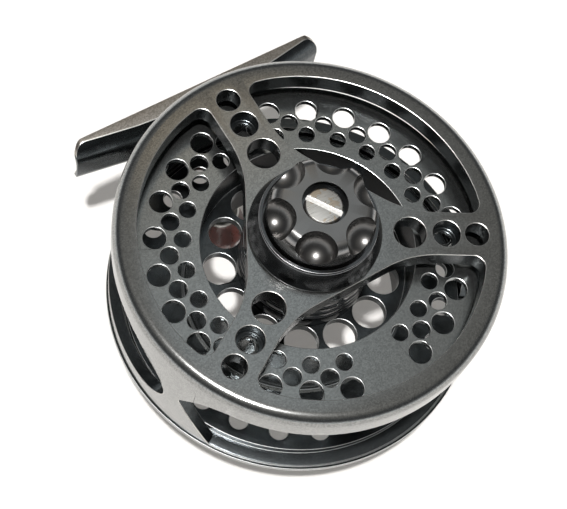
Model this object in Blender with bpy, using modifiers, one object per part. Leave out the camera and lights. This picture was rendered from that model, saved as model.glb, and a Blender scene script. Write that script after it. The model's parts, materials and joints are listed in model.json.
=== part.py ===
"""Fly reel with a disc drag, lying with its drag knob up.

Units are metres. The origin is the middle of the foot's flat seat: X runs along the rod, +Y points
out of the seat, and +Z runs along the spool's axis towards the drag knob. Heights inside the reel
are measured from the frame's top face, which the empty spool_axis marks.
"""

import math

import bmesh
import bpy
from mathutils import Matrix, Vector

MM = 0.001

# Clearances
GAP = 0.3 * MM  # between pieces that touch
RUNNING_GAP = 0.5 * MM  # between the turning spool and what stands still
SKIRT_GAP = 0.6 * MM  # round the knob inside its collar
CUT_OVER = 2.0 * MM  # how far a cutter reaches past the wall it goes through

# Facets round a full turn
LARGE_STEPS = 48
HOUSING_STEPS = 32
SMALL_STEPS = 16
HOLE_SIDES = 8
SPRING_POINTS_PER_TURN = 12
SHARP_ANGLE = 32.0

# Frame
FRAME_RADIUS = 45.0 * MM
FRAME_HEIGHT = 34.3 * MM
FRAME_WALL = 2.8 * MM
FRAME_EDGE = 2.7 * MM
FRAME_EDGE_STEPS = 4
PLATE_THICKNESS = 5.0 * MM
HUB_BORE_RADIUS = 10.3 * MM

# Back plate: three spokes, the first one at the foot
SPOKE_ANGLES = (90.0, 210.0, 330.0)
SPOKE_HALF_WIDTH = 5.35 * MM
HUB_FLAT = 15.4 * MM
RING_WIDTH = 5.4 * MM
HUB_FILLET = 24.0 * MM
CORNER_FILLET = 2.6 * MM
# Each hole is (distance in from the frame's edge, radius)
SPOKE_HOLES = ((7.6 * MM, 2.8 * MM), (14.7 * MM, 3.25 * MM), (23.2 * MM, 3.8 * MM))
STEPPED_HOLE_RADIUS = 2.3 * MM
STEPPED_HOLE_DEPTH = 3.8 * MM

# Openings in the frame's wall: angle from the foot in degrees, depth of the upper and lower edges
WINDOW_TOP = 8.0 * MM
WINDOW_BOTTOM = 29.5 * MM
FOOT_PILLAR_HALF = 17.0
WINDOW_CORNER = 1.5 * MM
WINDOW_CORNER_ANGLE = 2.0
SIDE_WINDOW_END = 103.7
SIDE_WINDOW_END_DEPTH = 22.0 * MM
SIDE_WINDOW_SLOPE_START = 80.0
FRONT_TIP = 109.5
FRONT_TIP_DEPTH = 18.5 * MM
FRONT_TOP_START = 125.0
FRONT_FOOT_END = 123.5
END_HALF_HEIGHT = 0.6 * MM

# Reel foot
SEAT_STANDOFF = 5.5 * MM
SEAT_DEPTH = 20.5 * MM
FOOT_HALF_LENGTH = 34.0 * MM
FOOT_WIDTH = 15.0 * MM
FOOT_CORNER = 3.4 * MM
FOOT_TIP_THICKNESS = 0.7 * MM
FOOT_TOE_LENGTH = 16.0 * MM
FOOT_TOE_THICKNESS = 3.2 * MM
FOOT_ROOT_THICKNESS = 3.8 * MM
FOOT_ARCH = 3.0 * MM
FOOT_FLAT = 5.0 * MM
FOOT_BASE_HALF = 11.0 * MM
FOOT_SCREW_SPACING = 12.0 * MM
FOOT_SCREW_RADIUS = 1.1 * MM
FOOT_SCREW_HEAD_RADIUS = 2.2 * MM
FOOT_SCREW_HEAD_DEPTH = 1.5 * MM

# Spool
REAR_FLANGE_DEPTH = 8.5 * MM
REAR_FLANGE_GAP = 1.2 * MM
REAR_FLANGE_THICKNESS = 1.5 * MM
FLANGE_WIDTH = 14.5 * MM
ARBOR_WALL = 1.5 * MM
WEB_DEPTH = 19.5 * MM
WEB_THICKNESS = 2.5 * MM
WINDING_WIDTH = 22.5 * MM
FRONT_FLANGE_THICKNESS = 1.7 * MM
FRONT_FLANGE_GAP = 0.8 * MM
RIM_OVERHANG = 0.4 * MM
RIM_THICKNESS = 1.3 * MM
RIM_LAND = 4.0 * MM
SPOOL_HUB_RADIUS = 10.5 * MM
SPOOL_HUB_BORE = 8.3 * MM
SPOOL_HUB_END_DEPTH = 33.0 * MM

# Spool drilling. The sector opposite the handle is left plain, which balances the handle.
# Each row is (distance in from the flange's edge, radius).
FLANGE_STEP = 15.0
FLANGE_PHASE = 13.5
OUTER_ROW = (5.8 * MM, 2.7 * MM)
MIDDLE_ROW = (9.0 * MM, 2.15 * MM)
INNER_ROW = (12.15 * MM, 2.0 * MM)
PLAIN_SECTOR_CENTRE = 268.5
PLAIN_SECTOR_HALF = 10.0
WEB_HOLES = 13
WEB_HOLE_INSET = 5.5 * MM
WEB_BRIDGE = 1.42 * MM
WEB_PHASE = -11.6
FRONT_ROW = (4.4 * MM, 2.3 * MM)
FRONT_STEP = 15.0

# Drag housing
COLLAR_BASE_RADIUS = 15.2 * MM
COLLAR_RIM_RADIUS = 13.3 * MM
COLLAR_HEIGHT = 6.5 * MM
COLLAR_RIM = 0.6 * MM
COLLAR_FLOOR = 2.0 * MM
KEY_WIDTH = 3.0 * MM
KEY_DEPTH = 1.3 * MM
DRUM_RADIUS = 15.5 * MM
DRUM_WALL = 1.4 * MM
DRUM_ROOF = 2.0 * MM
DRUM_SCREW_ANGLES = (30.0, 150.0, 270.0)
DRUM_SCREW_CIRCLE = 12.0 * MM
DRUM_SCREW_RADIUS = 1.1 * MM
DRUM_SCREW_HEAD_RADIUS = 1.8 * MM
DRUM_SCREW_HEAD = 1.4 * MM
DRUM_SCREW_BITE = 1.3 * MM

# Drag knob
KNOB_RADIUS = 12.0 * MM
KNOB_TOP = 14.0 * MM
KNOB_TOP_RADIUS = 9.2 * MM
KNOB_SHOULDER = 3.5 * MM
KNOB_BOTTOM = 3.0 * MM
KNOB_SKIRT_WALL = 1.7 * MM
KNOB_SKIRT_DEPTH = 3.5 * MM
KNOB_POCKET_RADIUS = 7.5 * MM
KNOB_RECESS_RADIUS = 5.1 * MM
KNOB_RECESS_DEPTH = 2.7 * MM
KNOB_WEB = 2.3 * MM
DIMPLES = 6
DIMPLE_PHASE = -11.5
DIMPLE_RADIUS = 4.7 * MM
DIMPLE_CIRCLE = 11.5 * MM
DIMPLE_HEIGHT = 12.8 * MM
KNOB_SCREW_HEAD_RADIUS = 4.3 * MM
KNOB_SCREW_HEAD = 1.0 * MM
KNOB_SCREW_RADIUS = 1.4 * MM
KNOB_SCREW_LENGTH = 5.5 * MM
SLOT_WIDTH = 1.2 * MM
SLOT_DEPTH = 0.5 * MM
SLOT_ANGLE = -57.0

# Inside the drag
SPINDLE_RADIUS = 3.0 * MM
SPINDLE_FLANGE_RADIUS = 5.0 * MM
SPINDLE_FLANGE = 1.5 * MM
SLEEVE_RADIUS = 5.5 * MM
SLEEVE_BOTTOM = -3.0 * MM
NUT_HEIGHT = 3.4 * MM
NUT_BOTTOM = 1.1 * MM
SPRING_RADIUS = 8.0 * MM
SPRING_WIRE = 0.5 * MM
SPRING_TURNS = 2.2
THRUST_RING_THICKNESS = 1.2 * MM
THRUST_RING_INNER_RADIUS = 6.0 * MM
PIN_ANGLES = (90.0, 210.0, 330.0)
PIN_CIRCLE = 8.0 * MM
PIN_RADIUS = 1.2 * MM
PRESSURE_DISC = 1.5 * MM
FRICTION_DISC = 0.8 * MM
ROTOR_DISC = 1.8 * MM
DRUM_PLATE = 1.8 * MM
SNAP_RING = 1.0 * MM
SNAP_RING_WIDTH = 1.4 * MM
ROTOR_HUB_RADIUS = 5.8 * MM
BUSH_WALL = 0.9 * MM
BEARING_SEAT = 1.5 * MM
BEARING_HEIGHT = 4.5 * MM
BEARING_SPACE = 1.0 * MM
CAP_RADIUS = 6.5 * MM
CAP_HEIGHT = 1.7 * MM
CAP_BOSS_RADIUS = 5.0 * MM
CAP_SCREW_LENGTH = 5.0 * MM

# Handle, hung from the spool's front flange
HANDLE_OFFSET = 2.0 * MM
HANDLE_ANGLE = 97.0
HANDLE_RADIUS = 7.5 * MM
HANDLE_NECK_RADIUS = 4.8 * MM
HANDLE_LENGTH = 11.0 * MM
HANDLE_SWELL = 8.4 * MM
HANDLE_END_ROUND = 1.6 * MM
HANDLE_FERRULE_RADIUS = 5.0 * MM
HANDLE_FERRULE = 1.5 * MM
POST_RADIUS = 1.8 * MM
POST_COLLAR_RADIUS = 3.4 * MM
POST_COLLAR = 2.0 * MM
HANDLE_SCREW_HEAD_RADIUS = 3.2 * MM
HANDLE_SCREW_HEAD = 1.2 * MM
HANDLE_SCREW_RADIUS = 0.8 * MM
HANDLE_SCREW_LENGTH = 3.0 * MM
HANDLE_SCREW_SET_IN = 0.4 * MM

# Sizes that follow from the ones above
WALL_INNER_RADIUS = FRAME_RADIUS - FRAME_WALL
BACK_WINDOW_RADIUS = FRAME_RADIUS - RING_WIDTH
SEAT_RADIUS = FRAME_RADIUS + SEAT_STANDOFF
REAR_FLANGE_RADIUS = WALL_INNER_RADIUS - REAR_FLANGE_GAP
FRONT_FLANGE_RADIUS = WALL_INNER_RADIUS - FRONT_FLANGE_GAP
RIM_RADIUS = FRAME_RADIUS + RIM_OVERHANG
ARBOR_RADIUS = REAR_FLANGE_RADIUS - FLANGE_WIDTH
ARBOR_BORE = ARBOR_RADIUS - ARBOR_WALL
WEB_HOLE_CIRCLE = ARBOR_BORE - WEB_HOLE_INSET
WEB_HOLE_RADIUS = math.pi * WEB_HOLE_CIRCLE / WEB_HOLES - WEB_BRIDGE / 2
HANDLE_CIRCLE = ARBOR_RADIUS + HANDLE_OFFSET
FRONT_FLANGE_DEPTH = REAR_FLANGE_DEPTH + REAR_FLANGE_THICKNESS + WINDING_WIDTH
FRONT_FACE_DEPTH = FRONT_FLANGE_DEPTH + FRONT_FLANGE_THICKNESS
RIM_TOP_DEPTH = FRAME_HEIGHT + RUNNING_GAP
RIM_BOTTOM_DEPTH = RIM_TOP_DEPTH + RIM_THICKNESS
SHAFT_BORE = SPINDLE_RADIUS + GAP
DRUM_BORE = DRUM_RADIUS - DRUM_WALL
ROOF_TOP = -PLATE_THICKNESS - GAP
ROOF_BOTTOM = ROOF_TOP - DRUM_ROOF
SPINDLE_FLANGE_TOP = ROOF_BOTTOM - GAP
SPINDLE_FLANGE_BOTTOM = SPINDLE_FLANGE_TOP - SPINDLE_FLANGE
PRESSURE_TOP = SPINDLE_FLANGE_BOTTOM - GAP
PRESSURE_BOTTOM = PRESSURE_TOP - PRESSURE_DISC
UPPER_FRICTION_TOP = PRESSURE_BOTTOM - GAP
UPPER_FRICTION_BOTTOM = UPPER_FRICTION_TOP - FRICTION_DISC
ROTOR_TOP = UPPER_FRICTION_BOTTOM - GAP
ROTOR_BOTTOM = ROTOR_TOP - ROTOR_DISC
LOWER_FRICTION_TOP = ROTOR_BOTTOM - GAP
LOWER_FRICTION_BOTTOM = LOWER_FRICTION_TOP - FRICTION_DISC
DRUM_PLATE_TOP = LOWER_FRICTION_BOTTOM - GAP
DRUM_PLATE_BOTTOM = DRUM_PLATE_TOP - DRUM_PLATE
SNAP_RING_TOP = DRUM_PLATE_BOTTOM - GAP
SNAP_RING_BOTTOM = SNAP_RING_TOP - SNAP_RING
DRUM_BOTTOM = -WEB_DEPTH + RUNNING_GAP
STACK_RADIUS = DRUM_BORE - GAP
COLLAR_BASE = GAP
COLLAR_BORE = KNOB_RADIUS + SKIRT_GAP
COLLAR_FLOOR_TOP = COLLAR_BASE + COLLAR_FLOOR
KNOB_RECESS_FLOOR = KNOB_TOP - KNOB_RECESS_DEPTH
KNOB_WEB_BOTTOM = KNOB_RECESS_FLOOR - KNOB_WEB
SPINDLE_TOP = KNOB_RECESS_FLOOR
SPINDLE_BOTTOM = -SPOOL_HUB_END_DEPTH
SCREW_HEAD_BOTTOM = SPINDLE_TOP + GAP
NUT_TOP = NUT_BOTTOM + NUT_HEIGHT
NUT_RADIUS = HUB_BORE_RADIUS - GAP
THRUST_RING_BOTTOM = ROOF_TOP + GAP
THRUST_RING_TOP = THRUST_RING_BOTTOM + THRUST_RING_THICKNESS
ROTOR_BORE = SHAFT_BORE + BUSH_WALL + GAP
CLUTCH_TOP = -WEB_DEPTH - GAP
BEARING_BOTTOM = -SPOOL_HUB_END_DEPTH + BEARING_SEAT
BEARING_TOP = BEARING_BOTTOM + BEARING_HEIGHT
ROTOR_HUB_END = BEARING_TOP + BEARING_SPACE
CAP_TOP = -SPOOL_HUB_END_DEPTH - GAP
POST_TOP = -FRONT_FACE_DEPTH - GAP
POST_COLLAR_BOTTOM = POST_TOP - POST_COLLAR
FERRULE_TOP = POST_COLLAR_BOTTOM - GAP
FERRULE_BOTTOM = FERRULE_TOP - HANDLE_FERRULE
HANDLE_TOP = FERRULE_BOTTOM - GAP
HANDLE_BOTTOM = HANDLE_TOP - HANDLE_LENGTH
HANDLE_SCREW_BOTTOM = HANDLE_BOTTOM + HANDLE_SCREW_SET_IN
HANDLE_SCREW_TOP = HANDLE_SCREW_BOTTOM + HANDLE_SCREW_HEAD
HANDLE_SEAT = HANDLE_SCREW_TOP + GAP
POST_BOTTOM = HANDLE_SEAT


def clear_scene():
    for obj in list(bpy.data.objects):
        bpy.data.objects.remove(obj, do_unlink=True)


clear_scene()
parts = bpy.data.collections.new("fly_reel")
cutters = bpy.data.collections.new("cutters")
bpy.context.scene.collection.children.link(parts)
bpy.context.scene.collection.children.link(cutters)


def add_empty(name, location, parent=None):
    empty = bpy.data.objects.new(name, None)
    empty.empty_display_size = 0.01
    empty.location = location
    empty.parent = parent
    parts.objects.link(empty)
    return empty


def make_material(name, colour, roughness, metallic):
    material = bpy.data.materials.new(name)
    material.use_nodes = True
    shader = material.node_tree.nodes["Principled BSDF"]
    shader.inputs["Base Color"].default_value = (*colour, 1.0)
    shader.inputs["Roughness"].default_value = roughness
    shader.inputs["Metallic"].default_value = metallic
    return material


def add_part(name, mesh, look, parent):
    """One piece of the reel, with a material of its own."""
    obj = bpy.data.objects.new(name, mesh)
    obj.parent = parent
    mesh.materials.append(make_material(name, *look))
    parts.objects.link(obj)
    return obj


def add_cutter(name, mesh, parent):
    obj = bpy.data.objects.new(name, mesh)
    obj.parent = parent
    obj.hide_render = True
    obj.display_type = "WIRE"
    cutters.objects.link(obj)
    return obj


def polar(radius, degrees, z=0.0):
    angle = math.radians(degrees)
    return Vector((radius * math.cos(angle), radius * math.sin(angle), z))


def profile_mesh(name, profile):
    """A line through (radius, height) points. It is closed unless it starts and ends on the axis."""
    mesh = bpy.data.meshes.new(name)
    shape = bmesh.new()
    points = [shape.verts.new((radius, 0.0, height)) for radius, height in profile]
    for first, second in zip(points, points[1:]):
        shape.edges.new((first, second))
    if profile[0][0] > 0.0:
        shape.edges.new((points[-1], points[0]))
    shape.to_mesh(mesh)
    shape.free()
    return mesh


def add_screw(obj, steps):
    turn = obj.modifiers.new("turned", "SCREW")
    turn.axis = "Z"
    turn.angle = math.tau
    turn.steps = steps
    turn.render_steps = steps
    turn.use_merge_vertices = True
    turn.merge_threshold = 0.00001
    return obj


def turned(name, profile, look, parent, steps=SMALL_STEPS):
    return add_screw(add_part(name, profile_mesh(name, profile), look, parent), steps)


def ring(name, inner, outer, top, bottom, look, parent, steps=SMALL_STEPS):
    profile = ((inner, top), (outer, top), (outer, bottom), (inner, bottom))
    return turned(name, profile, look, parent, steps)


def turned_cutter(name, profile, parent, steps=SMALL_STEPS):
    return add_screw(add_cutter(name, profile_mesh(name, profile), parent), steps)


def rods(name, places, parent, sides=HOLE_SIDES):
    """One cutter of separate rods: (centre, radius, top, bottom) for each."""
    mesh = bpy.data.meshes.new(name)
    shape = bmesh.new()
    for centre, radius, top, bottom in places:
        middle = Vector((centre.x, centre.y, (top + bottom) / 2))
        bmesh.ops.create_cone(
            shape,
            cap_ends=True,
            segments=sides,
            radius1=radius,
            radius2=radius,
            depth=top - bottom,
            matrix=Matrix.Translation(middle),
        )
    shape.to_mesh(mesh)
    shape.free()
    return add_cutter(name, mesh, parent)


def prism_mesh(name, outline, bottom, top):
    """A flat outline given thickness: a filled 2D curve made into a closed mesh."""
    curve = bpy.data.curves.new(name, "CURVE")
    curve.dimensions = "2D"
    curve.fill_mode = "BOTH"
    curve.extrude = (top - bottom) / 2
    spline = curve.splines.new("POLY")
    spline.points.add(len(outline) - 1)
    for point, (x, y) in zip(spline.points, outline):
        point.co = (x, y, 0.0, 1.0)
    spline.use_cyclic_u = True
    guide = bpy.data.objects.new(name, curve)
    cutters.objects.link(guide)
    bpy.context.view_layer.update()
    graph = bpy.context.evaluated_depsgraph_get()
    mesh = bpy.data.meshes.new_from_object(guide.evaluated_get(graph))
    bpy.data.objects.remove(guide)
    shape = bmesh.new()
    shape.from_mesh(mesh)
    bmesh.ops.remove_doubles(shape, verts=shape.verts, dist=0.000001)
    bmesh.ops.translate(shape, verts=shape.verts, vec=(0.0, 0.0, (top + bottom) / 2))
    bmesh.ops.recalc_face_normals(shape, faces=shape.faces)
    shape.to_mesh(mesh)
    shape.free()
    return mesh


def box_mesh(name, size, centre, turn=0.0):
    mesh = bpy.data.meshes.new(name)
    shape = bmesh.new()
    matrix = Matrix.Translation(centre) @ Matrix.Rotation(math.radians(turn), 4, "Z")
    bmesh.ops.create_cube(shape, size=1.0, matrix=matrix @ Matrix.Diagonal((*size, 1.0)))
    shape.to_mesh(mesh)
    shape.free()
    return mesh


def boolean(obj, other, operation="DIFFERENCE"):
    step = obj.modifiers.new(f"{operation.lower()} {other.name}", "BOOLEAN")
    step.operation = operation
    step.solver = "EXACT"
    step.object = other


def rounded(corners, radii, steps=5):
    """The outline through corners, with an arc of the given radius at each of them."""
    outline = []
    for i, (corner, radius) in enumerate(zip(corners, radii)):
        back = (corners[i - 1] - corner).normalized()
        ahead = (corners[(i + 1) % len(corners)] - corner).normalized()
        half = back.angle(ahead) / 2
        if radius == 0.0:
            outline.append(corner)
            continue
        reach = radius / math.tan(half)
        middle = corner + (back + ahead).normalized() * radius / math.sin(half)
        start = corner + back * reach - middle
        sweep = start.angle_signed(corner + ahead * reach - middle)
        for step in range(steps + 1):
            turn = Matrix.Rotation(-sweep * step / steps, 2)
            outline.append(middle + turn @ start)
    return outline


GUNMETAL = ((0.105, 0.11, 0.105), 0.42, 0.9)
SPOOL_GREY = ((0.085, 0.10, 0.105), 0.38, 0.9)
BLACK_METAL = ((0.02, 0.022, 0.024), 0.16, 0.9)
DARK_FOOT = ((0.05, 0.046, 0.044), 0.38, 0.85)
STEEL = ((0.55, 0.54, 0.51), 0.28, 1.0)
BRASS = ((0.60, 0.44, 0.20), 0.32, 1.0)
CARBON = ((0.03, 0.03, 0.03), 0.7, 0.0)
SPRING_STEEL = ((0.42, 0.43, 0.44), 0.3, 1.0)
WOOD = ((0.085, 0.016, 0.012), 0.25, 0.0)

spool_axis = add_empty("spool_axis", (0.0, -SEAT_RADIUS, SEAT_DEPTH))
handle_axis = add_empty("handle_axis", polar(HANDLE_CIRCLE, HANDLE_ANGLE), spool_axis)


def back_window_outline(middle_angle):
    """One window of the back plate, between two spokes, turned to its place."""
    along = Vector((math.cos(math.radians(30.0)), -math.sin(math.radians(30.0))))
    across = Vector((-along.y, along.x)) * -1.0
    corner_reach = (HUB_FLAT + SPOKE_HALF_WIDTH * across.y) / -along.y
    inner = along * corner_reach + across * SPOKE_HALF_WIDTH
    tip_reach = math.sqrt(BACK_WINDOW_RADIUS**2 - SPOKE_HALF_WIDTH**2)
    tip = along * tip_reach + across * SPOKE_HALF_WIDTH
    tip_angle = math.degrees(math.atan2(tip.y, tip.x))
    span = -180.0 - 2 * tip_angle
    count = 10
    arc = [
        polar(BACK_WINDOW_RADIUS, tip_angle + span * i / count).to_2d()
        for i in range(1, count)
    ]
    mirrored = Vector((-1.0, 1.0))
    corners = [inner, tip, *arc, tip * mirrored, inner * mirrored]
    radii = [HUB_FILLET, CORNER_FILLET, *([0.0] * len(arc)), CORNER_FILLET, HUB_FILLET]
    turn = Matrix.Rotation(math.radians(middle_angle - 270.0), 2)
    return [turn @ point for point in rounded(corners, radii)]


def wall_cutter(name, columns):
    """An opening in the frame's wall: a grid bent round the wall, then thickened across it.

    Each column is (angle from the foot, depth of its upper edge, depth of its lower edge).
    """
    mesh = bpy.data.meshes.new(name)
    shape = bmesh.new()
    bmesh.ops.create_grid(shape, x_segments=len(columns) - 1, y_segments=1, size=1.0)
    order = sorted(shape.verts, key=lambda vert: (round(vert.co.x, 4), vert.co.y))
    middle = FRAME_RADIUS - FRAME_WALL / 2
    for i, vert in enumerate(order):
        angle, upper, lower = columns[i // 2]
        vert.co = polar(middle, SPOKE_ANGLES[0] + angle, -lower if i % 2 == 0 else -upper)
    bmesh.ops.recalc_face_normals(shape, faces=shape.faces)
    shape.to_mesh(mesh)
    shape.free()
    obj = add_cutter(name, mesh, spool_axis)
    thick = obj.modifiers.new("across the wall", "SOLIDIFY")
    thick.thickness = FRAME_WALL + 2 * CUT_OVER
    thick.offset = 0.0
    return obj


def eased(start, end, share):
    return start + (end - start) * share


def side_window_columns(side):
    """From the foot's pillar to the slim pillar, whose end of the window is drawn in and rounded."""
    columns = [
        (FOOT_PILLAR_HALF, WINDOW_TOP + WINDOW_CORNER, WINDOW_BOTTOM - WINDOW_CORNER),
        (FOOT_PILLAR_HALF + WINDOW_CORNER_ANGLE, WINDOW_TOP, WINDOW_BOTTOM),
    ]
    plain = 8
    for i in range(1, plain + 1):
        start = FOOT_PILLAR_HALF + WINDOW_CORNER_ANGLE
        angle = eased(start, SIDE_WINDOW_SLOPE_START, i / plain)
        columns.append((angle, WINDOW_TOP, WINDOW_BOTTOM))
    sloped = 6
    for i in range(1, sloped + 1):
        share = math.sin(math.radians(90.0 * i / sloped))
        angle = eased(SIDE_WINDOW_SLOPE_START, SIDE_WINDOW_END, share)
        drop = 1.0 - math.sqrt(1.0 - min(share, 1.0) ** 2)
        rise = 1.0 - math.sqrt(1.0 - min(share, 1.0) ** 4)
        upper = eased(WINDOW_TOP, SIDE_WINDOW_END_DEPTH - END_HALF_HEIGHT, drop)
        lower = eased(WINDOW_BOTTOM, SIDE_WINDOW_END_DEPTH + END_HALF_HEIGHT, rise)
        columns.append((angle, upper, lower))
    return sorted((side * angle, upper, lower) for angle, upper, lower in columns)


def front_opening_columns():
    """Open at the bottom between the slim pillars, and drawn to a tip behind each of them."""
    below = FRAME_HEIGHT + CUT_OVER
    half = []
    slanted = 6
    for i in range(slanted + 1):
        share = i / slanted
        angle = eased(FRONT_TIP, FRONT_TOP_START, share)
        upper = eased(FRONT_TIP_DEPTH - END_HALF_HEIGHT, WINDOW_TOP, 1.0 - (1.0 - share) ** 2)
        fall = (angle - FRONT_TIP) / (FRONT_FOOT_END - FRONT_TIP)
        lower = eased(FRONT_TIP_DEPTH + END_HALF_HEIGHT, below, min(fall, 1.0))
        half.append((angle, upper, lower))
    plain = 6
    for i in range(1, plain + 1):
        half.append((eased(FRONT_TOP_START, 180.0, i / plain), WINDOW_TOP, below))
    other = [(360.0 - angle, upper, lower) for angle, upper, lower in reversed(half[:-1])]
    return half + other


def build_frame():
    edge = []
    for i in range(FRAME_EDGE_STEPS + 1):
        angle = math.radians(90.0 * (1 - i / FRAME_EDGE_STEPS))
        radius = FRAME_RADIUS - FRAME_EDGE * (1 - math.cos(angle))
        edge.append((radius, -FRAME_EDGE * (1 - math.sin(angle))))
    profile = [
        (HUB_BORE_RADIUS, 0.0),
        *edge,
        (FRAME_RADIUS, -FRAME_HEIGHT),
        (WALL_INNER_RADIUS, -FRAME_HEIGHT),
        (WALL_INNER_RADIUS, -PLATE_THICKNESS),
        (HUB_BORE_RADIUS, -PLATE_THICKNESS),
    ]
    frame = turned("frame", profile, GUNMETAL, spool_axis, LARGE_STEPS)
    for i, angle in enumerate(SPOKE_ANGLES):
        outline = back_window_outline(angle + 60.0)
        mesh = prism_mesh(f"back_window_{i}", outline, -PLATE_THICKNESS - CUT_OVER, CUT_OVER)
        boolean(frame, add_cutter(f"back_window_{i}", mesh, spool_axis))
    boolean(frame, wall_cutter("side_window_left", side_window_columns(1)))
    boolean(frame, wall_cutter("side_window_right", side_window_columns(-1)))
    boolean(frame, wall_cutter("front_opening", front_opening_columns()))
    through = -PLATE_THICKNESS - CUT_OVER
    holes = []
    steps = []
    for angle in SPOKE_ANGLES:
        for i, (inset, radius) in enumerate(SPOKE_HOLES):
            place = polar(FRAME_RADIUS - inset, angle)
            stepped = i == 1
            bottom = -STEPPED_HOLE_DEPTH if stepped else through
            holes.append((place, radius, CUT_OVER, bottom))
            if stepped:
                steps.append((place, STEPPED_HOLE_RADIUS, CUT_OVER, through))
    for angle in DRUM_SCREW_ANGLES:
        place = polar(DRUM_SCREW_CIRCLE, angle)
        holes.append((place, DRUM_SCREW_RADIUS + GAP, CUT_OVER, through))
    boolean(frame, rods("frame_holes", holes, spool_axis, 12))
    boolean(frame, rods("stepped_holes", steps, spool_axis, 12))
    for i, side in enumerate((-1.0, 1.0)):
        reach = SEAT_RADIUS - WALL_INNER_RADIUS + CUT_OVER
        hole = rods(
            f"foot_screw_hole_{i}",
            [(Vector((0.0, 0.0, 0.0)), FOOT_SCREW_RADIUS + GAP, 0.0, -reach)],
            None,
        )
        hole.location = (side * FOOT_SCREW_SPACING / 2, 0.0, 0.0)
        hole.rotation_euler = (math.radians(-90.0), 0.0, 0.0)
        boolean(frame, hole)


def arched_bar_mesh(name, stations, half_width):
    """A bar along X, flat on top and arched below: (x, thickness along its edges) at each station.

    The arch has a flat crown, on which the hoods of a reel seat bear.
    """
    mesh = bpy.data.meshes.new(name)
    shape = bmesh.new()
    falls = (1.0, 0.7, 0.35, 0.0)
    crown = FOOT_FLAT / 2
    sides = [(1.0, fall) for fall in falls] + [(-1.0, fall) for fall in reversed(falls)]
    loops = []
    for x, thickness in stations:
        loop = [shape.verts.new((x, 0.0, -half_width)), shape.verts.new((x, 0.0, half_width))]
        for side, fall in sides:
            depth = thickness + FOOT_ARCH * (1.0 - fall**2)
            loop.append(shape.verts.new((x, -depth, side * eased(crown, half_width, fall))))
        loops.append(loop)
    for first, second in zip(loops, loops[1:]):
        for i in range(len(first)):
            shape.faces.new((first[i - 1], first[i], second[i], second[i - 1]))
    shape.faces.new(loops[0])
    shape.faces.new(loops[-1])
    bmesh.ops.recalc_face_normals(shape, faces=shape.faces)
    shape.to_mesh(mesh)
    shape.free()
    return mesh


def build_foot():
    half = FOOT_HALF_LENGTH
    wide = FOOT_WIDTH / 2
    deep = SEAT_RADIUS - WALL_INNER_RADIUS
    toe = half - FOOT_TOE_LENGTH
    stations = (
        (-half, FOOT_TIP_THICKNESS),
        (-toe, FOOT_TOE_THICKNESS),
        (-FOOT_BASE_HALF, FOOT_ROOT_THICKNESS),
        (FOOT_BASE_HALF, FOOT_ROOT_THICKNESS),
        (toe, FOOT_TOE_THICKNESS),
        (half, FOOT_TIP_THICKNESS),
    )
    foot = add_part("reel_foot", arched_bar_mesh("reel_foot", stations, wide), DARK_FOOT, None)
    block_top = FOOT_ROOT_THICKNESS / 2
    size = (2 * FOOT_BASE_HALF, deep - block_top, 2 * wide - 2 * GAP)
    block = box_mesh("foot_block", size, Vector((0.0, -(deep + block_top) / 2, 0.0)))
    boolean(foot, add_cutter("foot_block", block, None), "UNION")
    corners = [Vector(p) for p in ((-half, -wide), (half, -wide), (half, wide), (-half, wide))]
    outline = rounded(corners, [FOOT_CORNER] * 4)
    mesh = prism_mesh("foot_outline", outline, -deep - CUT_OVER, deep + CUT_OVER)
    mesh.transform(Matrix.Rotation(math.radians(90.0), 4, "X"))
    boolean(foot, add_cutter("foot_outline", mesh, None), "INTERSECT")
    bed = FRAME_RADIUS + GAP
    body = rods("frame_bed", [(Vector(), bed, CUT_OVER, -2 * SEAT_DEPTH)], spool_axis, 2 * LARGE_STEPS)
    boolean(foot, body)
    head = FOOT_SCREW_HEAD_RADIUS + GAP
    for i, side in enumerate((-1.0, 1.0)):
        start = Vector((0.0, 0.0, 0.0))
        shank = (start, FOOT_SCREW_RADIUS + GAP, CUT_OVER, -deep)
        counterbore = (start, head, CUT_OVER, -FOOT_SCREW_HEAD_DEPTH - 2 * GAP)
        for kind, rod in (("shank", shank), ("head", counterbore)):
            hole = rods(f"foot_{kind}_hole_{i}", [rod], None, 12)
            hole.location = (side * FOOT_SCREW_SPACING / 2, 0.0, 0.0)
            hole.rotation_euler = (math.radians(-90.0), 0.0, 0.0)
            boolean(foot, hole)
        profile = (
            (0.0, -GAP),
            (FOOT_SCREW_HEAD_RADIUS, -GAP),
            (FOOT_SCREW_HEAD_RADIUS, -GAP - FOOT_SCREW_HEAD_DEPTH),
            (FOOT_SCREW_RADIUS, -GAP - FOOT_SCREW_HEAD_DEPTH),
            (FOOT_SCREW_RADIUS, -deep),
            (0.0, -deep),
        )
        screw = turned(f"foot_screw_{i + 1}", profile, STEEL, None, 12)
        screw.location = (side * FOOT_SCREW_SPACING / 2, 0.0, 0.0)
        screw.rotation_euler = (math.radians(-90.0), 0.0, 0.0)


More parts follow.
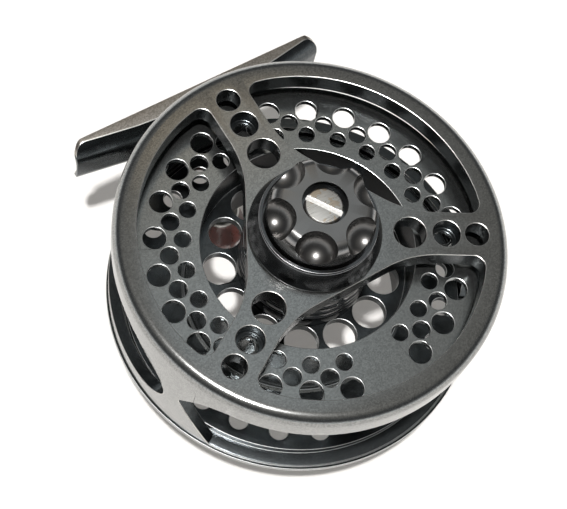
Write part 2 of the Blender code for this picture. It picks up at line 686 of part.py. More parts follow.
def flange_holes():
    """The three staggered rows of the rear flange, the web's ring and the front flange's row."""
    places = []
    top = -REAR_FLANGE_DEPTH + CUT_OVER
    bottom = -REAR_FLANGE_DEPTH - REAR_FLANGE_THICKNESS - CUT_OVER
    for row, (inset, radius) in enumerate((OUTER_ROW, MIDDLE_ROW, INNER_ROW)):
        circle = REAR_FLANGE_RADIUS - inset
        shift = FLANGE_STEP / 2 if row == 1 else 0.0
        for i in range(round(360.0 / FLANGE_STEP)):
            angle = FLANGE_PHASE + shift + FLANGE_STEP * i
            away = abs((angle - PLAIN_SECTOR_CENTRE + 180.0) % 360.0 - 180.0)
            if away > PLAIN_SECTOR_HALF:
                places.append((polar(circle, angle), radius, top, bottom))
    for i in range(WEB_HOLES):
        place = polar(WEB_HOLE_CIRCLE, WEB_PHASE + 360.0 * i / WEB_HOLES)
        top = -WEB_DEPTH + CUT_OVER
        bottom = -WEB_DEPTH - WEB_THICKNESS - CUT_OVER
        places.append((place, WEB_HOLE_RADIUS, top, bottom))
    inset, radius = FRONT_ROW
    circle = FRONT_FLANGE_RADIUS - inset
    for i in range(round(360.0 / FRONT_STEP)):
        top = -FRONT_FLANGE_DEPTH + CUT_OVER
        bottom = -FRONT_FACE_DEPTH - CUT_OVER
        places.append((polar(circle, FRONT_STEP * (i + 0.5)), radius, top, bottom))
    return places


def build_spool():
    profile = (
        (ARBOR_BORE, -REAR_FLANGE_DEPTH),
        (REAR_FLANGE_RADIUS, -REAR_FLANGE_DEPTH),
        (REAR_FLANGE_RADIUS, -REAR_FLANGE_DEPTH - REAR_FLANGE_THICKNESS),
        (ARBOR_RADIUS, -REAR_FLANGE_DEPTH - REAR_FLANGE_THICKNESS),
        (ARBOR_RADIUS, -FRONT_FLANGE_DEPTH),
        (FRONT_FLANGE_RADIUS, -FRONT_FLANGE_DEPTH),
        (FRONT_FLANGE_RADIUS, -RIM_TOP_DEPTH),
        (RIM_RADIUS, -RIM_TOP_DEPTH),
        (RIM_RADIUS, -RIM_BOTTOM_DEPTH),
        (RIM_RADIUS - RIM_LAND, -RIM_BOTTOM_DEPTH),
        (RIM_RADIUS - RIM_LAND - RIM_THICKNESS, -FRONT_FACE_DEPTH),
        (ARBOR_BORE, -FRONT_FACE_DEPTH),
        (ARBOR_BORE, -WEB_DEPTH - WEB_THICKNESS),
        (SPOOL_HUB_RADIUS, -WEB_DEPTH - WEB_THICKNESS),
        (SPOOL_HUB_RADIUS, -SPOOL_HUB_END_DEPTH),
        (SPOOL_HUB_BORE, -SPOOL_HUB_END_DEPTH),
        (SPOOL_HUB_BORE, -WEB_DEPTH),
        (ARBOR_BORE, -WEB_DEPTH),
    )
    spool = turned("spool", profile, SPOOL_GREY, spool_axis, LARGE_STEPS)
    boolean(spool, rods("spool_holes", flange_holes(), spool_axis))
    post = (Vector(), POST_RADIUS + GAP, CUT_OVER - FRONT_FLANGE_DEPTH, -FRONT_FACE_DEPTH - CUT_OVER)
    boolean(spool, rods("post_hole", [post], handle_axis))


def build_drag_housing():
    collar_profile = (
        (HUB_BORE_RADIUS, COLLAR_FLOOR_TOP),
        (COLLAR_BORE, COLLAR_FLOOR_TOP),
        (COLLAR_BORE, COLLAR_HEIGHT),
        (COLLAR_RIM_RADIUS, COLLAR_HEIGHT),
        (COLLAR_RIM_RADIUS, COLLAR_HEIGHT - COLLAR_RIM),
        (COLLAR_BASE_RADIUS, COLLAR_BASE + COLLAR_RIM),
        (COLLAR_BASE_RADIUS, COLLAR_BASE),
        (HUB_BORE_RADIUS, COLLAR_BASE),
    )
    collar = turned("drag_collar", collar_profile, BLACK_METAL, spool_axis, HOUSING_STEPS)
    reach = 2 * (HUB_BORE_RADIUS + KEY_DEPTH + GAP)
    groove = box_mesh("key_groove", (reach, KEY_WIDTH + 2 * GAP, 4 * COLLAR_FLOOR), Vector())
    boolean(collar, add_cutter("key_groove", groove, spool_axis))
    bite = COLLAR_BASE + DRUM_SCREW_BITE
    places = [polar(DRUM_SCREW_CIRCLE, angle) for angle in DRUM_SCREW_ANGLES]
    holes = [(place, DRUM_SCREW_RADIUS + GAP, bite + GAP, -CUT_OVER) for place in places]
    boolean(collar, rods("collar_screw_holes", holes, spool_axis))

    drum_profile = (
        (SHAFT_BORE, ROOF_TOP),
        (DRUM_RADIUS, ROOF_TOP),
        (DRUM_RADIUS, DRUM_BOTTOM),
        (DRUM_BORE, DRUM_BOTTOM),
        (DRUM_BORE, ROOF_BOTTOM),
        (SHAFT_BORE, ROOF_BOTTOM),
    )
    drum = turned("drag_drum", drum_profile, BLACK_METAL, spool_axis, HOUSING_STEPS)
    top = ROOF_TOP + CUT_OVER
    bottom = ROOF_BOTTOM - CUT_OVER
    holes = [(place, DRUM_SCREW_RADIUS + GAP, top, bottom) for place in places]
    for angle in PIN_ANGLES:
        holes.append((polar(PIN_CIRCLE, angle), PIN_RADIUS + GAP, top, bottom))
    boolean(drum, rods("roof_holes", holes, spool_axis, 12))

    head_top = ROOF_BOTTOM - GAP
    for i, place in enumerate(places):
        profile = (
            (0.0, bite),
            (DRUM_SCREW_RADIUS, bite),
            (DRUM_SCREW_RADIUS, head_top),
            (DRUM_SCREW_HEAD_RADIUS, head_top),
            (DRUM_SCREW_HEAD_RADIUS, head_top - DRUM_SCREW_HEAD),
            (0.0, head_top - DRUM_SCREW_HEAD),
        )
        screw = turned(f"drum_screw_{i + 1}", profile, STEEL, spool_axis, HOLE_SIDES)
        screw.location = place


def build_knob():
    skirt = KNOB_RADIUS - KNOB_SKIRT_WALL
    skirt_top = KNOB_BOTTOM + KNOB_SKIRT_DEPTH
    profile = (
        (KNOB_RECESS_RADIUS, KNOB_TOP),
        (KNOB_TOP_RADIUS, KNOB_TOP),
        (KNOB_RADIUS, KNOB_TOP - KNOB_SHOULDER),
        (KNOB_RADIUS, KNOB_BOTTOM),
        (skirt, KNOB_BOTTOM),
        (skirt, skirt_top),
        (KNOB_POCKET_RADIUS, skirt_top),
        (KNOB_POCKET_RADIUS, KNOB_WEB_BOTTOM),
        (SHAFT_BORE, KNOB_WEB_BOTTOM),
        (SHAFT_BORE, KNOB_RECESS_FLOOR),
        (KNOB_RECESS_RADIUS, KNOB_RECESS_FLOOR),
    )
    knob = turned("drag_knob", profile, BLACK_METAL, spool_axis, HOUSING_STEPS)
    mesh = bpy.data.meshes.new("dimples")
    shape = bmesh.new()
    for i in range(DIMPLES):
        centre = polar(DIMPLE_CIRCLE, DIMPLE_PHASE + 360.0 * i / DIMPLES, DIMPLE_HEIGHT)
        bmesh.ops.create_uvsphere(
            shape,
            u_segments=12,
            v_segments=6,
            radius=DIMPLE_RADIUS,
            matrix=Matrix.Translation(centre),
        )
    shape.to_mesh(mesh)
    shape.free()
    boolean(knob, add_cutter("dimples", mesh, spool_axis))

    sleeve_top = KNOB_WEB_BOTTOM - GAP
    ring("knob_sleeve", SHAFT_BORE, SLEEVE_RADIUS, sleeve_top, SLEEVE_BOTTOM, BRASS, spool_axis)

    head_top = SCREW_HEAD_BOTTOM + KNOB_SCREW_HEAD
    screw_profile = (
        (0.0, head_top),
        (KNOB_SCREW_HEAD_RADIUS, head_top),
        (KNOB_SCREW_HEAD_RADIUS, SCREW_HEAD_BOTTOM),
        (KNOB_SCREW_RADIUS, SCREW_HEAD_BOTTOM),
        (KNOB_SCREW_RADIUS, SCREW_HEAD_BOTTOM - KNOB_SCREW_LENGTH),
        (0.0, SCREW_HEAD_BOTTOM - KNOB_SCREW_LENGTH),
    )
    screw = turned("knob_screw", screw_profile, STEEL, spool_axis)
    size = (4 * KNOB_SCREW_HEAD_RADIUS, SLOT_WIDTH, 2 * SLOT_DEPTH)
    slot = box_mesh("screw_slot", size, Vector((0.0, 0.0, head_top)), SLOT_ANGLE)
    boolean(screw, add_cutter("screw_slot", slot, spool_axis))


def build_adjuster():
    """The keyed nut, its spring and the thrust ring, whose pins reach the pressure disc."""
    bore = SLEEVE_RADIUS + GAP
    nut = ring("drag_nut", bore, NUT_RADIUS, NUT_TOP, NUT_BOTTOM, BRASS, spool_axis)
    key_height = COLLAR_FLOOR_TOP - NUT_BOTTOM
    for i, side in enumerate((-1.0, 1.0)):
        inner = (bore + NUT_RADIUS) / 2
        outer = HUB_BORE_RADIUS + KEY_DEPTH
        size = (outer - inner, KEY_WIDTH, key_height)
        centre = Vector((side * (outer + inner) / 2, 0.0, NUT_BOTTOM + key_height / 2))
        key = add_cutter(f"nut_key_{i}", box_mesh(f"nut_key_{i}", size, centre), spool_axis)
        boolean(nut, key, "UNION")

    top = NUT_BOTTOM - GAP - SPRING_WIRE
    bottom = THRUST_RING_TOP + GAP + SPRING_WIRE
    curve = bpy.data.curves.new("drag_spring", "CURVE")
    curve.dimensions = "3D"
    curve.bevel_depth = SPRING_WIRE
    curve.bevel_resolution = 1
    curve.use_fill_caps = True
    count = round(SPRING_TURNS * SPRING_POINTS_PER_TURN)
    spline = curve.splines.new("POLY")
    spline.points.add(count)
    for i, point in enumerate(spline.points):
        share = i / count
        point.co = (*polar(SPRING_RADIUS, 360.0 * SPRING_TURNS * share, eased(bottom, top, share)), 1.0)
    print("drag spring: gap between turns", (top - bottom) / SPRING_TURNS - 2 * SPRING_WIRE)
    spring = bpy.data.objects.new("drag_spring", curve)
    spring.parent = spool_axis
    curve.materials.append(make_material("drag_spring", *SPRING_STEEL))
    parts.objects.link(spring)

    thrust = ring(
        "thrust_ring",
        THRUST_RING_INNER_RADIUS,
        NUT_RADIUS,
        THRUST_RING_TOP,
        THRUST_RING_BOTTOM,
        STEEL,
        spool_axis,
    )
    pin_top = (THRUST_RING_TOP + THRUST_RING_BOTTOM) / 2
    pins = [(polar(PIN_CIRCLE, a), PIN_RADIUS, pin_top, PRESSURE_TOP + GAP) for a in PIN_ANGLES]
    boolean(thrust, rods("thrust_pins", pins, spool_axis), "UNION")


def build_disc_stack():
    spindle_profile = (
        (0.0, SPINDLE_TOP - KNOB_SCREW_LENGTH),
        (KNOB_SCREW_RADIUS + GAP, SPINDLE_TOP - KNOB_SCREW_LENGTH),
        (KNOB_SCREW_RADIUS + GAP, SPINDLE_TOP),
        (SPINDLE_RADIUS, SPINDLE_TOP),
        (SPINDLE_RADIUS, SPINDLE_FLANGE_TOP),
        (SPINDLE_FLANGE_RADIUS, SPINDLE_FLANGE_TOP),
        (SPINDLE_FLANGE_RADIUS, SPINDLE_FLANGE_BOTTOM),
        (SPINDLE_RADIUS, SPINDLE_FLANGE_BOTTOM),
        (SPINDLE_RADIUS, SPINDLE_BOTTOM),
        (KNOB_SCREW_RADIUS + GAP, SPINDLE_BOTTOM),
        (KNOB_SCREW_RADIUS + GAP, SPINDLE_BOTTOM + CAP_SCREW_LENGTH),
        (0.0, SPINDLE_BOTTOM + CAP_SCREW_LENGTH),
    )
    turned("spindle", spindle_profile, STEEL, spool_axis)
    hub_clear = ROTOR_HUB_RADIUS + RUNNING_GAP
    stack = (
        ("pressure_disc", SHAFT_BORE, PRESSURE_TOP, PRESSURE_BOTTOM, STEEL),
        ("friction_disc_upper", SHAFT_BORE, UPPER_FRICTION_TOP, UPPER_FRICTION_BOTTOM, CARBON),
        ("friction_disc_lower", hub_clear, LOWER_FRICTION_TOP, LOWER_FRICTION_BOTTOM, CARBON),
        ("drum_plate", hub_clear, DRUM_PLATE_TOP, DRUM_PLATE_BOTTOM, STEEL),
    )
    for name, bore, top, bottom, look in stack:
        ring(name, bore, STACK_RADIUS, top, bottom, look, spool_axis)
    inner = STACK_RADIUS - SNAP_RING_WIDTH
    ring("snap_ring", inner, STACK_RADIUS, SNAP_RING_TOP, SNAP_RING_BOTTOM, SPRING_STEEL, spool_axis)

    rotor_profile = (
        (ROTOR_BORE, ROTOR_TOP),
        (STACK_RADIUS - GAP, ROTOR_TOP),
        (STACK_RADIUS - GAP, ROTOR_BOTTOM),
        (ROTOR_HUB_RADIUS, ROTOR_BOTTOM),
        (ROTOR_HUB_RADIUS, ROTOR_HUB_END),
        (ROTOR_BORE, ROTOR_HUB_END),
    )
    turned("drag_rotor", rotor_profile, STEEL, spool_axis)
    bush_outer = SHAFT_BORE + BUSH_WALL
    ring("rotor_bush", SHAFT_BORE, bush_outer, ROTOR_TOP, ROTOR_HUB_END, BRASS, spool_axis)
    clutch_inner = ROTOR_HUB_RADIUS + GAP
    clutch_outer = SPOOL_HUB_BORE - GAP
    ring("roller_clutch", clutch_inner, clutch_outer, CLUTCH_TOP, ROTOR_HUB_END, STEEL, spool_axis)
    ring("spool_bearing", SHAFT_BORE, clutch_outer, BEARING_TOP, BEARING_BOTTOM, STEEL, spool_axis)

    boss_top = BEARING_BOTTOM - GAP
    screw_top = SPINDLE_BOTTOM + CAP_SCREW_LENGTH - GAP
    cap_profile = (
        (0.0, screw_top),
        (KNOB_SCREW_RADIUS, screw_top),
        (KNOB_SCREW_RADIUS, CAP_TOP),
        (SHAFT_BORE, CAP_TOP),
        (SHAFT_BORE, boss_top),
        (CAP_BOSS_RADIUS, boss_top),
        (CAP_BOSS_RADIUS, CAP_TOP),
        (CAP_RADIUS, CAP_TOP),
        (CAP_RADIUS, CAP_TOP - CAP_HEIGHT),
        (0.0, CAP_TOP - CAP_HEIGHT),
    )
    turned("spool_cap", cap_profile, BLACK_METAL, spool_axis)


def build_handle():
    stub_top = -FRONT_FLANGE_DEPTH - GAP
    hole = HANDLE_SCREW_RADIUS + GAP
    post_profile = (
        (0.0, stub_top),
        (POST_RADIUS, stub_top),
        (POST_RADIUS, POST_TOP),
        (POST_COLLAR_RADIUS, POST_TOP),
        (POST_COLLAR_RADIUS, POST_COLLAR_BOTTOM),
        (POST_RADIUS, POST_COLLAR_BOTTOM),
        (POST_RADIUS, POST_BOTTOM),
        (hole, POST_BOTTOM),
        (hole, POST_BOTTOM + HANDLE_SCREW_LENGTH),
        (0.0, POST_BOTTOM + HANDLE_SCREW_LENGTH),
    )
    turned("handle_post", post_profile, STEEL, handle_axis, 16)
    bore = POST_RADIUS + GAP
    ring("handle_ferrule", bore, HANDLE_FERRULE_RADIUS, FERRULE_TOP, FERRULE_BOTTOM, STEEL, handle_axis)

    swell = []
    count = 5
    for i in range(count + 1):
        share = i / count
        radius = eased(HANDLE_NECK_RADIUS, HANDLE_RADIUS, share * share * (3 - 2 * share))
        swell.append((radius, HANDLE_TOP - HANDLE_SWELL * share))
    seat = HANDLE_SCREW_HEAD_RADIUS + GAP
    knob_profile = (
        (bore, HANDLE_TOP),
        *swell,
        (HANDLE_RADIUS, HANDLE_BOTTOM + HANDLE_END_ROUND),
        (HANDLE_RADIUS - HANDLE_END_ROUND, HANDLE_BOTTOM),
        (seat, HANDLE_BOTTOM),
        (seat, HANDLE_SEAT),
        (bore, HANDLE_SEAT),
    )
    turned("handle_knob", knob_profile, WOOD, handle_axis, SMALL_STEPS + 4)

    screw_profile = (
        (0.0, HANDLE_SCREW_TOP + HANDLE_SCREW_LENGTH),
        (HANDLE_SCREW_RADIUS, HANDLE_SCREW_TOP + HANDLE_SCREW_LENGTH),
        (HANDLE_SCREW_RADIUS, HANDLE_SCREW_TOP),
        (HANDLE_SCREW_HEAD_RADIUS, HANDLE_SCREW_TOP),
        (HANDLE_SCREW_HEAD_RADIUS, HANDLE_SCREW_BOTTOM),
        (0.0, HANDLE_SCREW_BOTTOM),
    )
    turned("handle_screw", screw_profile, STEEL, handle_axis, 16)


def settle():
    """Bakes each piece's modifiers and shades its round faces smooth."""
    bpy.context.view_layer.update()
    graph = bpy.context.evaluated_depsgraph_get()
    baked = {}
    for obj in parts.objects:
        if obj.type == "MESH":
            baked[obj] = bpy.data.meshes.new_from_object(obj.evaluated_get(graph))
    for obj, mesh in baked.items():
        obj.modifiers.clear()
        mesh.name = obj.name
        mesh.shade_smooth()
        mesh.set_sharp_from_angle(angle=math.radians(SHARP_ANGLE))
        obj.data = mesh


build_frame()
build_foot()
build_spool()
build_drag_housing()
build_knob()
build_adjuster()
build_disc_stack()
build_handle()
settle()
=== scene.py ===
# %% [markdown]
# # Dressing a fly reel
# The working model of the reel is already cut, fitted and jointed. This lesson puts a fine surface
# round it: smooth turned rims, drilled holes with bright edges, blasted metal and polished black.
# Every new piece is modelled with the tools of edit mode, takes the place of a plain solid, and
# rides on the body that the solid rides on.

# %% Load the working model
import json
import math

import bpy
from mathutils import Matrix, Vector

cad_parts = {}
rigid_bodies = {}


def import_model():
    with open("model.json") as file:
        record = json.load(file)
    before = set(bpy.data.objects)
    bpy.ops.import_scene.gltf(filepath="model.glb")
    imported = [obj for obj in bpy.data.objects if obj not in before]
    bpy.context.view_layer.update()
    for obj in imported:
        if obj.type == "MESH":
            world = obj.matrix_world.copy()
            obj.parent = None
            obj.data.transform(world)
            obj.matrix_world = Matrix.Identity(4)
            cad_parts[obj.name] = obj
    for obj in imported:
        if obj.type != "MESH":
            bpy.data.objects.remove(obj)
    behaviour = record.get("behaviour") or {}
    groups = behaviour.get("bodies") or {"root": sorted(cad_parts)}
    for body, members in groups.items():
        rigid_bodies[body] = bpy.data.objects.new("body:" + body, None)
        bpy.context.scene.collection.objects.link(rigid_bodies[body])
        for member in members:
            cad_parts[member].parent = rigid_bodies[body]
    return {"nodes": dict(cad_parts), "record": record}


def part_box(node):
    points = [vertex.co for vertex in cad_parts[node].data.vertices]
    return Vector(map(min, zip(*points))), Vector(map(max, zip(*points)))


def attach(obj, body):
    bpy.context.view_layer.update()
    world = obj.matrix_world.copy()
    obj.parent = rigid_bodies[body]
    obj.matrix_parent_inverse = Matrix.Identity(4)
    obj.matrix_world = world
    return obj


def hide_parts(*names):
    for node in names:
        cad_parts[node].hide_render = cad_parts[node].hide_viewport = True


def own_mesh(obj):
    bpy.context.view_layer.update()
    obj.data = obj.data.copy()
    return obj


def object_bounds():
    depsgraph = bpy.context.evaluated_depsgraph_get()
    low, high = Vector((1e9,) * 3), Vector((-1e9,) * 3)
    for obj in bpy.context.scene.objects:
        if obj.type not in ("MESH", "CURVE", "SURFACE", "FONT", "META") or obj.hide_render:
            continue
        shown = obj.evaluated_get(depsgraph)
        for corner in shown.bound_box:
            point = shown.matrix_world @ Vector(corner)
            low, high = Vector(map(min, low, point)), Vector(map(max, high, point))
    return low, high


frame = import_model()
nodes = frame["nodes"]
solid_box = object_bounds()
print("solids:", len(nodes), "box:", [[round(v, 4) for v in corner] for corner in solid_box])

# %% [markdown]
# ## Where things are
# The frame is round, so the middle of its box is the spool's axis and the top of its box is the
# face that the spokes lie in. All heights below are measured from that face, and all angles from
# the +X side. Sizes are in metres.

# %% Axis, top face and floor height
MM = 0.001
frame_low, frame_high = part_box("frame")
AXIS = Vector(((frame_low.x + frame_high.x) / 2, (frame_low.y + frame_high.y) / 2, frame_high.z))
FLOOR = solid_box[0][2]
print("axis at", [round(v, 4) for v in AXIS], "floor at", round(FLOOR, 4))


def at(radius, degrees, height=0.0):
    angle = math.radians(degrees)
    return AXIS + Vector((radius * math.cos(angle), radius * math.sin(angle), height))


# %% [markdown]
# ## The camera
# The photograph looks down on the reel from the front left. The nine spoke holes gave its place,
# its turn and its lens, so the render can be laid over the photograph.

# %% Camera
CAMERA_PLACE = (-0.10735, -0.13483, 0.29373)
CAMERA_TURN = (23.858, -8.132, -32.111)
CAMERA_LENS = 86.86
bpy.ops.object.camera_add(
    location=CAMERA_PLACE, rotation=[math.radians(turn) for turn in CAMERA_TURN]
)
camera = bpy.context.object
camera.name = "camera"
camera.data.lens = CAMERA_LENS
camera.data.sensor_width = 36.0
camera.data.clip_start = 0.01
bpy.context.scene.camera = camera
bpy.context.scene.view_settings.view_transform = "Standard"
print("camera lens", CAMERA_LENS)

# %% [markdown]
# ## Shader maths written as sums
# A finish is a small web of nodes. Wiring it by hand hides the idea, so a socket is wrapped in a
# class that knows plus, minus, times, power and more-than: `grain * 0.3` then adds its Math node by
# itself.


# %% Sockets that can be added and multiplied
class Wire:
    """One output of a node, usable in ordinary sums."""

    def __init__(self, web, socket):
        self.web = web
        self.socket = socket

    def maths(self, operation, *values):
        return self.web.node("ShaderNodeMath", {"operation": operation}, dict(enumerate(values)))

    def __add__(self, other):
        return self.maths("ADD", self, other)

    def __radd__(self, other):
        return self.maths("ADD", other, self)

    def __sub__(self, other):
        return self.maths("SUBTRACT", self, other)

    def __mul__(self, other):
        return self.maths("MULTIPLY", self, other)

    def __pow__(self, other):
        return self.maths("POWER", self, other)

    def __gt__(self, other):
        return self.maths("GREATER_THAN", self, other)


# %% Trees of nodes
class Web:
    """A tree of nodes, added one call at a time."""

    def __init__(self, tree):
        self.tree = tree

    def node(self, kind, settings=None, sockets=None, output=0):
        made = self.tree.nodes.new(kind)
        for key, value in (settings or {}).items():
            if key == "stops":
                self.set_stops(made.color_ramp, value)
            else:
                setattr(made, key, value)
        for key, value in (sockets or {}).items():
            self.plug(made.inputs[key], value)
        return Wire(self, made.outputs[output])

    def set_stops(self, ramp, stops):
        while len(ramp.elements) < len(stops):
            ramp.elements.new(1.0)
        for element, (position, colour) in zip(ramp.elements, stops):
            element.position = position
            element.color = (*colour, 1.0)

    def plug(self, socket, value):
        if isinstance(value, Wire):
            self.tree.links.new(value.socket, socket)
        else:
            socket.default_value = value

    def mix(self, factor, first, second):
        """Blends two colours."""
        sockets = {0: factor, 6: (*first, 1.0) if isinstance(first, tuple) else first}
        sockets[7] = (*second, 1.0) if isinstance(second, tuple) else second
        return self.node("ShaderNodeMix", {"data_type": "RGBA"}, sockets, output=2)


# %% Finishes
class Finish(Web):
    """A material with one Principled shader."""

    def __init__(self, name, roughness=0.4, metallic=1.0):
        self.material = bpy.data.materials.new(name)
        self.material.use_nodes = True
        super().__init__(self.material.node_tree)
        self.shader = self.tree.nodes["Principled BSDF"]
        self.set("Roughness", roughness)
        self.set("Metallic", metallic)
        self.place = self.node("ShaderNodeTexCoord", output="Object")

    def set(self, name, value):
        self.plug(self.shader.inputs[name], value)

    def noise(self, scale, detail=2.0, place=None):
        sockets = {"Vector": place or self.place, "Scale": scale, "Detail": detail}
        return self.node("ShaderNodeTexNoise", sockets=sockets)

    def bump(self, height, strength, depth):
        sockets = {"Height": height, "Strength": strength, "Distance": depth}
        self.set("Normal", self.node("ShaderNodeBump", sockets=sockets))

    def from_axis(self, centre):
        """(distance from an upright axis, height above its point) over the surface."""
        sockets = {0: self.place, 1: tuple(centre)}
        moved = self.node("ShaderNodeVectorMath", {"operation": "SUBTRACT"}, sockets)
        x, y, z = (self.node("ShaderNodeSeparateXYZ", {}, {0: moved}, i) for i in range(3))
        return (x * x + y * y) ** 0.5, z


print("shader classes ready")

# %% [markdown]
# ## Blasted and anodised metal
# The frame and spool are bead-blasted before they are anodised. Up close that is a fine pebbled
# grain with a few facets that glint. Noise gives the grain as bump, a cell pattern paints random
# facets lighter as painted glints, and a slow cloud keeps a wide face from looking like plastic.


# %% Blasted finishes
GRAIN_SCALE = 4200.0
CLOUD_SCALE = 70.0
FACET_SCALE = 3600.0
GRAIN_DEPTH = 0.03 * MM
ROUGHNESS_SPREAD = 0.1


def blasted(name, dark, light, roughness):
    finish = Finish(name)
    grain = finish.noise(GRAIN_SCALE, 3.0)
    cloud = finish.noise(CLOUD_SCALE, 2.0)
    sockets = {"Vector": finish.place, "Scale": FACET_SCALE}
    facets = finish.node("ShaderNodeTexVoronoi", {}, sockets, "Color")
    # Painted glints: each facet cell gets a random lightness in the colour, mixed with the grain's
    # tone.
    painted_glint = finish.node("ShaderNodeSeparateColor", {}, {0: facets})
    finish.set("Base Color", finish.mix(cloud * 0.1 + grain * 0.3 + painted_glint * 0.6, dark, light))
    finish.set("Roughness", roughness - ROUGHNESS_SPREAD / 2 + grain * ROUGHNESS_SPREAD)
    finish.bump(grain, 0.1, GRAIN_DEPTH)
    return finish.material


frame_metal = blasted("blasted_gunmetal", (0.22, 0.222, 0.219), (0.445, 0.449, 0.441), 0.18)
spool_metal = blasted("blasted_blue_grey", (0.225, 0.232, 0.23), (0.455, 0.468, 0.464), 0.22)
foot_metal = blasted("blasted_foot", (0.21, 0.19, 0.17), (0.5, 0.456, 0.41), 0.3)
# The same blasted metal made darker, for painted shade where little light reaches, and darker still
# for painted deep shade.
painted_shade_metal = blasted("blasted_painted_shade", (0.045, 0.05, 0.053), (0.12, 0.132, 0.138), 0.24)
painted_deep_shade_metal = blasted("blasted_painted_deep_shade", (0.014, 0.015, 0.017), (0.04, 0.043, 0.046), 0.2)
print("blasted finishes:", frame_metal.name, spool_metal.name, foot_metal.name)

# %% [markdown]
# ## Cut edges and polished black
# After blasting, every edge is run over with a cutter, which leaves a thin line brighter than the
# face. The drag collar and knob are turned, polished and dyed dark, so they show fine rings from
# the lathe and clear reflections. The rings are a sine of the distance from the reel's axis.

# %% Bright edges, polished black and turned steel
STREAK_SCALE = 900.0
WEAR_SCALE = 160.0
TOOL_PITCH = 0.4 * MM
TOOL_DEPTH = 0.01 * MM


def cut_edge(name, colour):
    finish = Finish(name)
    streak = finish.noise(STREAK_SCALE, 2.0)
    pale = tuple(value * 1.12 for value in colour)
    finish.set("Base Color", finish.mix(streak, colour, pale))
    finish.set("Roughness", 0.26 + streak * 0.16)
    return finish.material


def lathe_turned(name, dark, light, roughness, pitch=TOOL_PITCH):
    finish = Finish(name)
    distance, height = finish.from_axis(AXIS)
    phase = (distance + height) * (math.tau / pitch)
    rings = phase.maths("SINE", phase)
    wear = finish.noise(WEAR_SCALE, 2.0)
    finish.set("Base Color", finish.mix(wear, dark, light))
    finish.set("Roughness", roughness - ROUGHNESS_SPREAD / 2 + wear * ROUGHNESS_SPREAD)
    finish.bump(rings, 0.05, TOOL_DEPTH)
    return finish.material


edge_metal = cut_edge("cut_edge_gunmetal", (0.6, 0.59, 0.57))
spool_edge = cut_edge("cut_edge_spool", (0.58, 0.59, 0.59))
black_edge = cut_edge("cut_edge_black", (0.45, 0.45, 0.46))
black_metal = lathe_turned("polished_black", (0.1, 0.104, 0.108), (0.145, 0.15, 0.156), 0.18)
knob_metal = lathe_turned("polished_gunmetal", (0.24, 0.236, 0.235), (0.34, 0.336, 0.334), 0.24)
# The bowls are the knob's own metal made darker: painted shade.
bowl_painted_shade_metal = lathe_turned("polished_bowl_painted_shade", (0.13, 0.126, 0.124), (0.2, 0.195, 0.19), 0.28)
steel = lathe_turned("turned_steel", (0.46, 0.45, 0.43), (0.6, 0.59, 0.56), 0.3)
brass = lathe_turned("turned_brass", (0.55, 0.4, 0.18), (0.66, 0.5, 0.25), 0.32)
print("turned finishes:", black_metal.name, knob_metal.name, steel.name, brass.name)

# %% [markdown]
# ## Turning on the lathe
# Most of a reel is turned. In edit mode a lathe is the Spin tool: one point is pulled along half of
# the section, point by point, and the line is then spun round the axis. The seam is welded and the
# faces are turned to point outwards.


# %% Helpers for clean starts and traced lines
WELD = 1e-6


def start_fresh():
    if bpy.context.object and bpy.context.object.mode != "OBJECT":
        bpy.ops.object.mode_set(mode="OBJECT")
    bpy.ops.object.select_all(action="DESELECT")


def trace(name, points):
    """One point pulled along a line of points. It stays in edit mode."""
    start_fresh()
    bpy.ops.mesh.primitive_plane_add(size=MM, location=(0.0, 0.0, 0.0))
    piece = bpy.context.object
    piece.name = name
    bpy.ops.object.mode_set(mode="EDIT")
    bpy.ops.mesh.select_all(action="SELECT")
    bpy.ops.mesh.merge(type="CENTER")
    bpy.ops.transform.translate(value=points[0])
    for before, after in zip(points, points[1:]):
        bpy.ops.mesh.extrude_vertices_move(TRANSFORM_OT_translate={"value": after - before})
    bpy.ops.mesh.select_all(action="SELECT")
    return piece


def close_mesh():
    bpy.ops.mesh.select_all(action="SELECT")
    bpy.ops.mesh.remove_doubles(threshold=WELD)
    bpy.ops.mesh.normals_make_consistent(inside=False)
    bpy.ops.object.mode_set(mode="OBJECT")


# %% Helpers for turned pieces and slabs
def turn(name, section, steps=128, centre=AXIS):
    """Spins a section of (radius, height) points, closed unless it starts and ends on the axis."""
    loop = list(section)
    if loop[0][0] > 0.0:
        loop.append(loop[0])
    piece = trace(name, [centre + Vector((radius, 0.0, height)) for radius, height in loop])
    bpy.ops.mesh.spin(steps=steps, angle=math.tau, center=centre, axis=(0.0, 0.0, 1.0))
    close_mesh()
    return piece


def round_over(side, width, top, drop, steps=8):
    """The (radius, height) points of a rounded edge, from a flat top down to the side."""
    points = []
    for i in range(steps + 1):
        lean = math.radians(90.0 - 90.0 * i / steps)
        points.append((side - width * (1 - math.cos(lean)), top - drop * (1 - math.sin(lean))))
    return points


def plate(name, outline, low, high):
    """Fills a traced outline and pulls it up into a slab."""
    points = [Vector((x, y, low)) for x, y in outline]
    piece = trace(name, [*points, points[0]])
    bpy.ops.mesh.remove_doubles(threshold=WELD)
    bpy.ops.mesh.edge_face_add()
    bpy.ops.mesh.extrude_region_move(TRANSFORM_OT_translate={"value": (0.0, 0.0, high - low)})
    close_mesh()
    return piece


# %% [markdown]
# ## Cutting and easing
# A cutter is a second shape that a Boolean takes away. Holes are drilled with a joined set of
# cylinders, so that one cut does a whole pattern. A Bevel then eases each sharp edge and gives the
# eased strip the bright finish.


# %% Helpers for cuts and holes
def make_active(piece):
    start_fresh()
    piece.select_set(True)
    bpy.context.view_layer.objects.active = piece


def cut(piece, cutter, operation="DIFFERENCE"):
    step = piece.modifiers.new("cut", "BOOLEAN")
    step.operation = operation
    step.object = cutter
    make_active(piece)
    bpy.ops.object.modifier_apply(modifier="cut")
    bpy.data.objects.remove(cutter)


